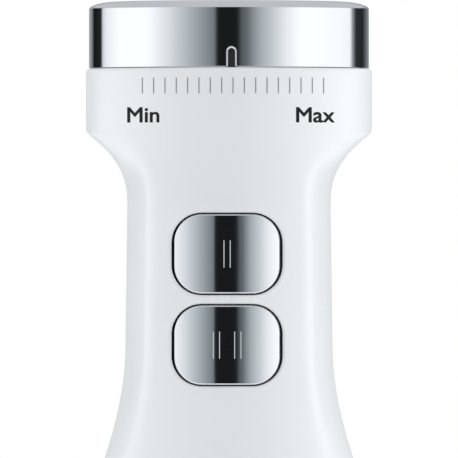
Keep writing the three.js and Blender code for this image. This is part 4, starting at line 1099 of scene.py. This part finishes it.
class BLENDER_OT_scale(Operator):
    """Print the speed scale and its two words on the head band"""

    bl_idname = "blender_build.scale"
    bl_label = "Speed scale"

    INK = 0.03 * MM  # film thickness

    def execute(self, context):
        h = context.scene.blender_housing
        s = context.scene.blender_scale
        radius = h.radius + self.INK

        def ticks(bm):
            stroke = rounded_rectangle(s.tick_width, s.tick_length, 0.45 * s.tick_width, 5)
            middle = BAND_TOP - s.tick_top - s.tick_length / 2
            for i in range(s.ticks):
                x = s.middle + (i - (s.ticks - 1) / 2) * s.pitch
                self.film(bm, [(x + u, v + middle) for u, v in stroke], radius)

        add_piece("scale_ticks", mesh_of("ticks", ticks), finish("tick_ink"), "handle")
        for word, start, width, name in (
            (s.low_word, s.low_start, s.low_width, "low"),
            (s.high_word, s.high_start, s.high_width, "high"),
        ):
            mesh = self.word(word, start, width, s, radius)
            add_piece(f"scale_word_{name}", mesh, finish("scale_ink"), "handle")
        return {"FINISHED"}

    def film(self, bm, outline, radius):
        """A closed film of ink on the band."""
        outer = [bm.verts.new((u, -math.sqrt(radius**2 - u**2), v)) for u, v in outline]
        under = radius - 2 * self.INK
        inner = [bm.verts.new((u, -math.sqrt(under**2 - u**2), v)) for u, v in outline]
        bridge(bm, [outer, inner])
        bm.faces.new(outer)
        bm.faces.new(inner[::-1])

    def embolden(self, bm, by):
        """Move every outline point outward, square to its two outline edges."""
        places = {}
        for vert in bm.verts:
            outward = Vector()
            for edge in (e for e in vert.link_edges if e.is_boundary):
                along = (edge.verts[1].co - edge.verts[0].co).normalized()
                side = Vector((along.y, -along.x, 0))
                inward = edge.link_faces[0].calc_center_median() - edge.verts[0].co
                outward -= side if side.dot(inward) > 0 else -side
            if outward.length > 0:
                places[vert] = vert.co + outward * by / max(outward.length_squared / 2, 0.7)
        for vert, place in places.items():
            vert.co = place

    def word(self, text, start, width, s, radius):
        """A word set flat, then bent round the band."""
        curve = bpy.data.curves.new("word", "FONT")
        curve.body = text
        curve.resolution_u = 8
        letters = bpy.data.objects.new("word", curve)
        bpy.context.scene.collection.objects.link(letters)
        bpy.context.view_layer.update()
        mesh = bpy.data.meshes.new_from_object(letters.evaluated_get(bpy.context.evaluated_depsgraph_get()))
        bpy.data.objects.remove(letters)
        bpy.data.curves.remove(curve)
        bm = bmesh.new()
        bm.from_mesh(mesh)
        bmesh.ops.remove_doubles(bm, verts=bm.verts, dist=1e-5)
        self.embolden(bm, s.boldness)
        across = [v.co.x for v in bm.verts]
        low, wide = min(across), max(across) - min(across)
        tall = max(v.co.y for v in bm.verts)
        for vert in bm.verts:
            u = start + (vert.co.x - low) / wide * width
            vert.co = Vector((u, 0, s.word_low + vert.co.y / tall * s.word_height))
        for x in np.arange(start, start + width, 0.5 * MM)[1:]:
            everything = bm.verts[:] + bm.edges[:] + bm.faces[:]
            bmesh.ops.bisect_plane(bm, geom=everything, plane_co=(x, 0, 0), plane_no=(1, 0, 0))
        for vert in bm.verts:
            vert.co.y = -math.sqrt(radius**2 - vert.co.x**2)
        for face in bm.faces:
            if face.normal.y > 0:
                face.normal_flip()
        bm.normal_update()
        bm.to_mesh(mesh)
        bm.free()
        return mesh


# ---------------------------------------------------------------- side buttons and cord gland


class BLENDER_OT_release(Operator):
    """Build the two ribbed release buttons that free the shaft"""

    bl_idname = "blender_build.release"
    bl_label = "Release buttons"

    RIB_PITCH, RIB_DEPTH = 1.5 * MM, 0.22 * MM
    ROLL = 0.6 * MM  # rolled edge of the face

    def execute(self, context):
        for side, turn in (("left", -QUARTER), ("right", QUARTER)):
            node = f"release_button_{side}"
            cap = mesh_of("release", lambda bm: self.cap(bm, node, facing(turn)), math.radians(45))
            grey = finish("grey_plastic")
            add_piece(f"release_cap_{side}", cap, grey, f"release_{side}", [node])
        return {"FINISHED"}

    def cap(self, bm, node, place):
        low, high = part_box(node)
        middle = (low.z + high.z) / 2
        face = max(abs(low.x), abs(high.x))
        inner = min(abs(low.x), abs(high.x))
        flange = inner + 1.3 * MM
        width, height = release_face(low, high)
        edge = evened(rounded_rectangle(width, height, 1.4 * MM, 8), 0.4 * MM)

        def grown(across, up):
            return [(u * (1 + 2 * across / width), v * (1 + 2 * up / height)) for u, v in edge]

        def ring(points, depth):
            return [bm.verts.new(place(u, v + middle, depth(u, v))) for u, v in points]

        def front(u, v):
            ribs = self.RIB_DEPTH * (1 - math.cos(v * FULL_TURN / self.RIB_PITCH)) / 2
            fade = min(max((height / 2 - 1.1 * MM - abs(v)) / (0.4 * MM), 0), 1)
            return math.sqrt(face**2 - u**2) - ribs * fade

        rings = [[bm.verts.new(place(0, middle, front(0, 0)))]]
        for share in np.linspace(0, 1, 56)[1:]:
            rings.append(ring([(u * share, v * share) for u, v in grown(-self.ROLL, -self.ROLL)], front))
        for a in np.linspace(0, QUARTER, 6)[1:]:
            shrink = self.ROLL * (1 - math.sin(a))
            sunk = self.ROLL * (1 - math.cos(a))
            rings.append(ring(grown(-shrink, -shrink), lambda u, v: math.sqrt(face**2 - u**2) - sunk))
        rings.append(ring(edge, lambda u, v: flange))
        wide = grown(*RELEASE_FLANGE)
        rings.append(ring(wide, lambda u, v: flange))
        rings.append(ring(wide, lambda u, v: inner))
        rings.append([bm.verts.new(place(0, middle, inner))])
        bridge(bm, rings)


class BLENDER_OT_gland(Operator):
    """Build the rubber gland that the mains lead comes out of"""

    bl_idname = "blender_build.gland"
    bl_label = "Cord gland"

    def execute(self, context):
        low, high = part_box("cord_gland")
        radius = (high.x - low.x) / 2
        neck, bore = radius - 1.8 * MM, radius - 3.3 * MM
        corners = [
            (bore, low.y, 0.3 * MM),
            (neck, low.y, 0.4 * MM),
            (neck, high.y - 1.5 * MM, 0.2 * MM),
            (radius, high.y - 1.5 * MM, 0.2 * MM),
            (radius, high.y, 0.6 * MM),
            (bore + 0.9 * MM, high.y, 0.2 * MM),
            (bore + 0.6 * MM, high.y - 0.4 * MM, 0.2 * MM),
            (bore, high.y - 0.4 * MM, 0.4 * MM),
        ]

        def build(bm):
            turned(bm, filleted(corners, 0.3 * MM, 5), 96)
            middle = Vector((0, 0, (low.z + high.z) / 2))
            for vert in bm.verts:
                x, y, z = vert.co
                vert.co = Vector((-x, z, y)) + middle

        rubber = finish("black_rubber")
        add_piece("gland", mesh_of("gland", build), rubber, "handle", ["cord_gland"])
        return {"FINISHED"}


# ---------------------------------------------------------------- blending shaft


class BLENDER_OT_collar(Operator):
    """Build the white collar of the blending shaft with its coupling spigot"""

    bl_idname = "blender_build.collar"
    bl_label = "Shaft collar"

    def execute(self, context):
        wall = context.scene.blender_housing.wall
        low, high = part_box("shaft_collar")
        tube = highs("shaft_tube").x
        bottom = high.x
        top = HANDLE_LOW - FIT
        spigot = bottom - 10 * MM
        neck = tube + 2.2 * MM
        groove = HANDLE_LOW + 8.2 * MM
        floor = top - 2.4 * MM

        def flare(u):
            return neck + (bottom - neck) * math.sin(u * QUARTER) ** 2

        def height(u):
            return low.z + u * (top - MM - low.z)

        bush, bush_low = highs("upper_bush").x, lows("upper_bush").z - FIT
        outline = [(tube + FIT, low.z + 0.2 * MM), (tube + 0.7 * MM, low.z), (neck - 0.5 * MM, low.z)]
        outline += [(flare(u), height(u) + (0.5 * MM if u == 0 else 0)) for u in np.linspace(0, 1, 60)]
        outline += filleted(
            [
                (bottom - 0.1 * MM, top - 0.8 * MM, 0),
                (bottom - 0.3 * MM, top - 0.3 * MM, 0),
                (bottom - 0.9 * MM, top, 0),
                (spigot, top, 0.5 * MM),
                (spigot, groove - 1.5 * MM, 0.2 * MM),
                (spigot - 2.1 * MM, groove - 1.5 * MM, 0.3 * MM),
                (spigot - 2.1 * MM, groove + 1.5 * MM, 0.3 * MM),
                (spigot, groove + 1.5 * MM, 0.2 * MM),
                (spigot, high.z, 1.0 * MM),
                (spigot - 3.5 * MM, high.z, 0.5 * MM),
                (spigot - 3.5 * MM, floor, 0.8 * MM),
                (bush + FIT, floor, 0.2 * MM),
                (bush + FIT, bush_low, 0),
                (bush + 2.5 * MM, bush_low, 0),
                (bush + 2.5 * MM, floor - 2.4 * MM, 0),
            ],
            0.3 * MM,
        )
        for u in np.linspace(1, 0, 30):
            if low.z + 10 * MM < height(u) < floor - 2.4 * MM:
                outline.append((flare(u) - wall, height(u)))
        outline.append((tube + FIT, low.z + 8.8 * MM))
        mesh = mesh_of("collar", lambda bm: turned(bm, outline, 192))
        add_piece("collar", mesh, finish("white_housing"), "shaft", ["shaft_collar"])
        return {"FINISHED"}


class BLENDER_OT_tube(Operator):
    """Build the steel tube, the bearing carrier and the blade hub"""

    bl_idname = "blender_build.tube"
    bl_label = "Shaft tube and hub"

    def execute(self, context):
        self.tube()
        self.carrier()
        self.hub(context)
        return {"FINISHED"}

    def tube(self):
        low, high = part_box("shaft_tube")
        wide, wall = high.x, MM
        slim = wide - TUBE_TAPER
        steps = np.linspace(0, 1, 40)
        bottom, top = highs("bell_guard").z + 14 * MM, lows("shaft_collar").z - 10 * MM
        taper = [(slim + (wide - slim) * t * t * (3 - 2 * t), bottom + (top - bottom) * t) for t in steps]
        outer = [(slim, low.z), *taper, (wide, high.z)]
        outline = outer + [(r - wall, z) for r, z in reversed(outer)]
        steel = finish("stainless_steel")
        mesh = mesh_of("tube", lambda bm: turned(bm, outline, 160))
        add_piece("tube", mesh, steel, "shaft", ["shaft_tube"])

    def carrier(self):
        low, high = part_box("bearing_carrier")
        outer = high.x
        seal, bush = highs("shaft_seal").x + FIT, highs("lower_bush").x + FIT
        bush_top = highs("lower_bush").z
        bore = highs("drive_shaft").x + 1.2 * MM
        tube_low = lows("shaft_tube").z - FIT
        inner = outer - 0.9 * MM
        corners = [
            (seal, low.z, 0.2 * MM),
            (seal + 1.7 * MM, low.z, 0.8 * MM),
            (outer, low.z + 8 * MM, 1.5 * MM),
            (outer, tube_low, 0.3 * MM),
            (inner, tube_low, 0.1 * MM),
            (inner, high.z, 0.3 * MM),
            (inner - 2.2 * MM, high.z, 0.3 * MM),
            (inner - 2.2 * MM, bush_top + 2 * MM, 0.3 * MM),
            (bore, bush_top + 2 * MM, 0.2 * MM),
            (bore, bush_top + FIT, 0),
            (bush, bush_top + FIT, 0),
            (bush, low.z + 5 * MM, 0),
            (seal, low.z + 5 * MM, 0),
        ]
        mesh = mesh_of("carrier", lambda bm: turned(bm, filleted(corners, 0.3 * MM), 96))
        add_piece("carrier", mesh, finish("black_plastic"), "shaft", ["bearing_carrier"])

    def hub(self, context):
        low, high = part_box("blade_hub")
        radius, bore = high.x, highs("drive_shaft").x + FIT
        neck = radius - 1.2 * MM
        thickness = context.scene.blender_shaft.blade_thickness
        blade_low = low.z + BLADE_LIFT
        blade_high = blade_low + thickness + FIT
        floor = lows("drive_shaft").z - FIT
        corners = [
            (0, low.z),
            (radius - 1.4 * MM, low.z, 1.2 * MM),
            (radius, low.z + MM, 0.8 * MM),
            (radius, blade_low - FIT, 0.15 * MM),
            (neck, blade_low - FIT, 0.1 * MM),
            (neck, blade_high, 0.1 * MM),
            (radius, blade_high, 0.2 * MM),
            (radius - 0.6 * MM, high.z, 0.5 * MM),
            (bore, high.z, 0.2 * MM),
            (bore, floor, 0),
            (0, floor),
        ]
        mesh = mesh_of("hub", lambda bm: turned(bm, filleted(corners, 0.2 * MM, 5), 96))
        add_piece("hub", mesh, finish("stainless_steel"), "blade", ["blade_hub"])


class BLENDER_OT_bell(Operator):
    """Build the bell guard with its scallops, slots and rolled rim"""

    bl_idname = "blender_build.bell"
    bl_label = "Bell guard"

    def execute(self, context):
        s = context.scene.blender_shaft
        top, radius = highs("bell_guard").z, highs("bell_guard").x
        neck = highs("shaft_tube").x - TUBE_TAPER + FIT + s.bell_wall
        shoulder = top - 6 * MM

        def curve(t):
            return neck + (radius - neck) * (1 - (1 - t) ** 2.4) ** 0.75

        shares = np.linspace(0, 1, 90) ** 1.6
        outside = [(neck - 0.5 * s.bell_wall, top), (neck, top - 0.5 * s.bell_wall), (neck, shoulder + MM)]
        outside += [(curve(t), shoulder * (1 - t)) for t in shares[1:] if shoulder * (1 - t) > 1.2 * MM]
        bead = 1.1 * MM
        rolled = [
            (radius - bead + bead * math.cos(a), bead + bead * math.sin(a))
            for a in np.linspace(0, -math.pi, 14)
        ]
        skirt = [(r, z) for r, z in reversed(outside[3:]) if z > 3 * MM]
        inside = [(max(r - s.bell_wall, neck - s.bell_wall), z) for r, z in skirt]
        inside += [(neck - s.bell_wall, shoulder - 2 * MM), (neck - s.bell_wall, top)]
        outline = outside + rolled + inside
        whole = mesh_of("bell", lambda bm: turned(bm, outline, 256))
        window = rounded_rectangle(s.window_width, 2 * s.window_height, 5 * MM, 12)
        slot = rounded_rectangle(s.slot_width, s.slot_length, 0.49 * s.slot_width, 10)
        slot = [(u, v + 0.62 * top) for u, v in slot]

        def cutters(bm):
            for i in range(4):
                prism(bm, window, facing(i * QUARTER), neck, radius + 2 * MM)
                prism(bm, slot, facing((i + 0.5) * QUARTER), neck, radius + 2 * MM)

        bell = cut_away(whole, cutters)
        add_piece("bell", bell, finish("stainless_steel"), "shaft", ["bell_guard"])
        return {"FINISHED"}


class BLENDER_OT_blade(Operator):
    """Build the bent two-armed blade"""

    bl_idname = "blender_build.blade"
    bl_label = "Blade"

    FLAT = 0.32  # share of each arm that stays flat
    NARROWING = 0.45  # share of its width that an arm has lost at its tip
    SWEEP = 2.6 * MM  # how far a tip is swept back

    def execute(self, context):
        s = context.scene.blender_shaft
        low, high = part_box("blade")
        height = lows("blade_hub").z + BLADE_LIFT + s.blade_thickness / 2
        span = high.x - low.x
        hole = highs("blade_hub").x - 0.9 * MM

        def strip(bm):
            rings = []
            for along in np.linspace(-1, 1, 81):
                way = math.copysign(1, along)
                away = max(abs(along) - self.FLAT, 0) / (1 - self.FLAT)
                section = rounded_rectangle(s.blade_width, s.blade_thickness, 0.2 * MM, 3)
                ring = []
                for y, z in evened(section, 0.8 * MM):
                    swept = y * (1 - self.NARROWING * away**2) - way * self.SWEEP * away**2
                    ground = max(way * y / s.blade_width, 0)
                    thinned = z * (1 - 1.5 * away * ground)
                    x = along * span / 2 * (1 - 0.02 * (y / s.blade_width) ** 2 * away)
                    ring.append(bm.verts.new((x, swept, thinned + way * s.blade_bend * away**2 + height)))
                rings.append(ring)
            bridge(bm, rings)
            bm.faces.new(rings[0][::-1])
            bm.faces.new(rings[-1])

        def upright(u, v, z):
            return Vector((u, v, z))

        def disc(reach, grow):
            half = s.blade_thickness / 2 + grow
            return lambda bm: prism(bm, circle(reach, 72), upright, height - half, height + half)

        mesh = cut_away(mesh_of("blade", strip, math.radians(25)), disc(hole + 2.7 * MM, 0), "UNION")
        mesh = cut_away(mesh, disc(hole, MM))
        add_piece("blade_arms", mesh, finish("ground_steel"), "blade", ["blade"])
        return {"FINISHED"}


# ---------------------------------------------------------------- everything carried over


class BLENDER_OT_works(Operator):
    """Give the pieces inside the casing their materials"""

    bl_idname = "blender_build.works"
    bl_label = "Inner works"

    def execute(self, context):
        slots = {part["node"]: part["material_slot"] for part in frame["record"]["subparts"]}
        for name, node in frame["nodes"].items():
            for material_slot in node.material_slots:
                material_slot.material = finish(slots[name])
        return {"FINISHED"}


# ---------------------------------------------------------------- stage


class BLENDER_OT_stage(Operator):
    """Set up the camera, the pale floor and the studio light"""

    bl_idname = "blender_build.stage"
    bl_label = "Stage"

    # (azimuth in degrees from the front, grey) of the panels and flags around the subject
    PANELS = (
        (-180, 0.42), (-158, 0.286), (-150, 0.03), (-147.8, 0.009), (-131.4, 0.02), (-127.8, 0.7),
        (-122, 0.9), (-114, 0.99), (-103, 1.1), (-72, 1.1), (-64.3, 1.0), (-53, 0.83), (-42.3, 0.64),
        (-31.9, 0.475), (-21.8, 0.333), (-12.2, 0.21), (-9.6, 0.022), (-7, 0.0115), (5.3, 0.0115),
        (7.8, 0.024), (10.2, 0.105), (15.2, 0.163), (25.2, 0.435), (38, 0.68), (48.5, 0.92), (62.4, 1.12),
        (106, 1.06), (118.7, 1.0), (123.8, 0.29), (129.3, 0.03), (145, 0.02), (180, 0.42),
    )

    def execute(self, context):
        s = context.scene.blender_stage
        self.camera(context, s)
        self.world(context, s)
        self.floor(s)
        context.scene.view_settings.view_transform = "Standard"
        return {"FINISHED"}

    def camera(self, context, s):
        lens = bpy.data.cameras.new("camera")
        lens.sensor_width = 36
        lens.lens = 36 * s.distance / s.field
        lens.clip_end = 50
        camera = bpy.data.objects.new("camera", lens)
        camera.location = (0, -s.distance, s.height)
        camera.rotation_euler = (QUARTER, 0, 0)
        context.scene.collection.objects.link(camera)
        context.scene.camera = camera

    def world(self, context, s):
        world = bpy.data.worlds.new("studio")
        context.scene.world = world
        world.use_nodes = True
        nodes = Nodes(world.node_tree)
        ray = nodes.add("ShaderNodeLightPath").outputs
        way = nodes.add("ShaderNodeSeparateXYZ", Vector=nodes.add("ShaderNodeTexCoord").outputs["Generated"])
        x, y, z = way.outputs
        turn = nodes.math("ARCTAN2", x, nodes.math("MULTIPLY", y, -1.0))
        ramp = nodes.add("ShaderNodeValToRGB")
        stops = ramp.color_ramp.elements
        for index, (azimuth, grey) in enumerate(self.PANELS):
            at = (azimuth + 180) / 360
            stop = stops[index] if index < 2 else stops.new(at)
            stop.position = at
            cool = 0.12 * max(1 - grey, 0)
            stop.color = (grey * (0.98 - cool), grey, grey * (1.01 + 0.5 * cool), 1)
        nodes.feed(ramp, "Fac", nodes.ranged(turn, -math.pi, math.pi))
        ceiling = nodes.ranged(z, 0.12, 0.3)
        mirrored = nodes.mixed(ceiling, ramp.outputs[0], (0.55, 0.56, 0.58, 1))
        sideways = nodes.math("MULTIPLY", nodes.math("MULTIPLY", x, x), 1.1)
        leaning = nodes.math("ADD", nodes.math("MULTIPLY", y, 0.3), nodes.math("MULTIPLY", x, 0.14))
        soft = nodes.math("ADD", nodes.math("ADD", sideways, leaning), 0.74)
        tint = nodes.add("ShaderNodeCombineXYZ")
        for key, share in (("X", 0.985), ("Y", 1.0), ("Z", 1.01)):
            nodes.feed(tint, key, nodes.math("MULTIPLY", soft, share))
        lit = nodes.mixed(ray["Is Glossy Ray"], tint.outputs[0], mirrored)
        seen = nodes.mixed(ray["Is Camera Ray"], lit, (1, 1, 1, 1))
        light = nodes.add("ShaderNodeBackground", Color=seen, Strength=s.strength)
        nodes.add("ShaderNodeOutputWorld", Surface=light.outputs[0])

    def floor(self, s):
        def build(bm):
            bm.faces.new([bm.verts.new((x, y, 0)) for x, y in circle(s.floor, 96)])

        material, nodes, shader, where = new_material("floor")
        cloud = nodes.noise(where, 3.0)
        nodes.feed(shader, "Base Color", nodes.mixed(cloud, (0.92, 0.92, 0.92, 1), (0.95, 0.95, 0.95, 1)))
        nodes.feed(shader, "Roughness", 0.7)
        mesh = mesh_of("floor", build)
        floor = bpy.data.objects.new("floor", mesh)
        mesh.materials.append(material)
        bpy.context.scene.collection.objects.link(floor)


# ---------------------------------------------------------------- add-on

SETTINGS = {
    "blender_housing": HousingSettings,
    "blender_dial": DialSettings,
    "blender_button": ButtonSettings,
    "blender_scale": ScaleSettings,
    "blender_shaft": ShaftSettings,
    "blender_stage": StageSettings,
}
OPERATORS = (
    BLENDER_OT_housing,
    BLENDER_OT_dial,
    BLENDER_OT_buttons,
    BLENDER_OT_scale,
    BLENDER_OT_release,
    BLENDER_OT_gland,
    BLENDER_OT_collar,
    BLENDER_OT_tube,
    BLENDER_OT_bell,
    BLENDER_OT_blade,
    BLENDER_OT_works,
    BLENDER_OT_stage,
)


class BLENDER_PT_build(Panel):
    """Lists the build steps and the main sizes"""

    bl_idname = "BLENDER_PT_build"
    bl_label = "Immersion blender"
    bl_space_type = "VIEW_3D"
    bl_region_type = "UI"
    bl_category = "Blender"

    def draw(self, context):
        for operator in OPERATORS:
            self.layout.operator(operator.bl_idname)
        for key in SETTINGS:
            settings = getattr(context.scene, key)
            column = self.layout.column()
            for prop in settings.__annotations__:
                column.prop(settings, prop)


def register():
    for cls in (*SETTINGS.values(), *OPERATORS, BLENDER_PT_build):
        bpy.utils.register_class(cls)
    for key, settings in SETTINGS.items():
        setattr(bpy.types.Scene, key, PointerProperty(type=settings))


def unregister():
    for key in SETTINGS:
        delattr(bpy.types.Scene, key)
    for cls in (BLENDER_PT_build, *reversed(OPERATORS), *reversed(SETTINGS.values())):
        bpy.utils.unregister_class(cls)


def main():
    register()
    for operator in OPERATORS:
        step = getattr(bpy.ops.blender_build, operator.bl_idname.split(".")[1])
        if step() != {"FINISHED"}:
            raise RuntimeError(f"{operator.bl_label} did not finish")


if __name__ == "__main__":
    main()
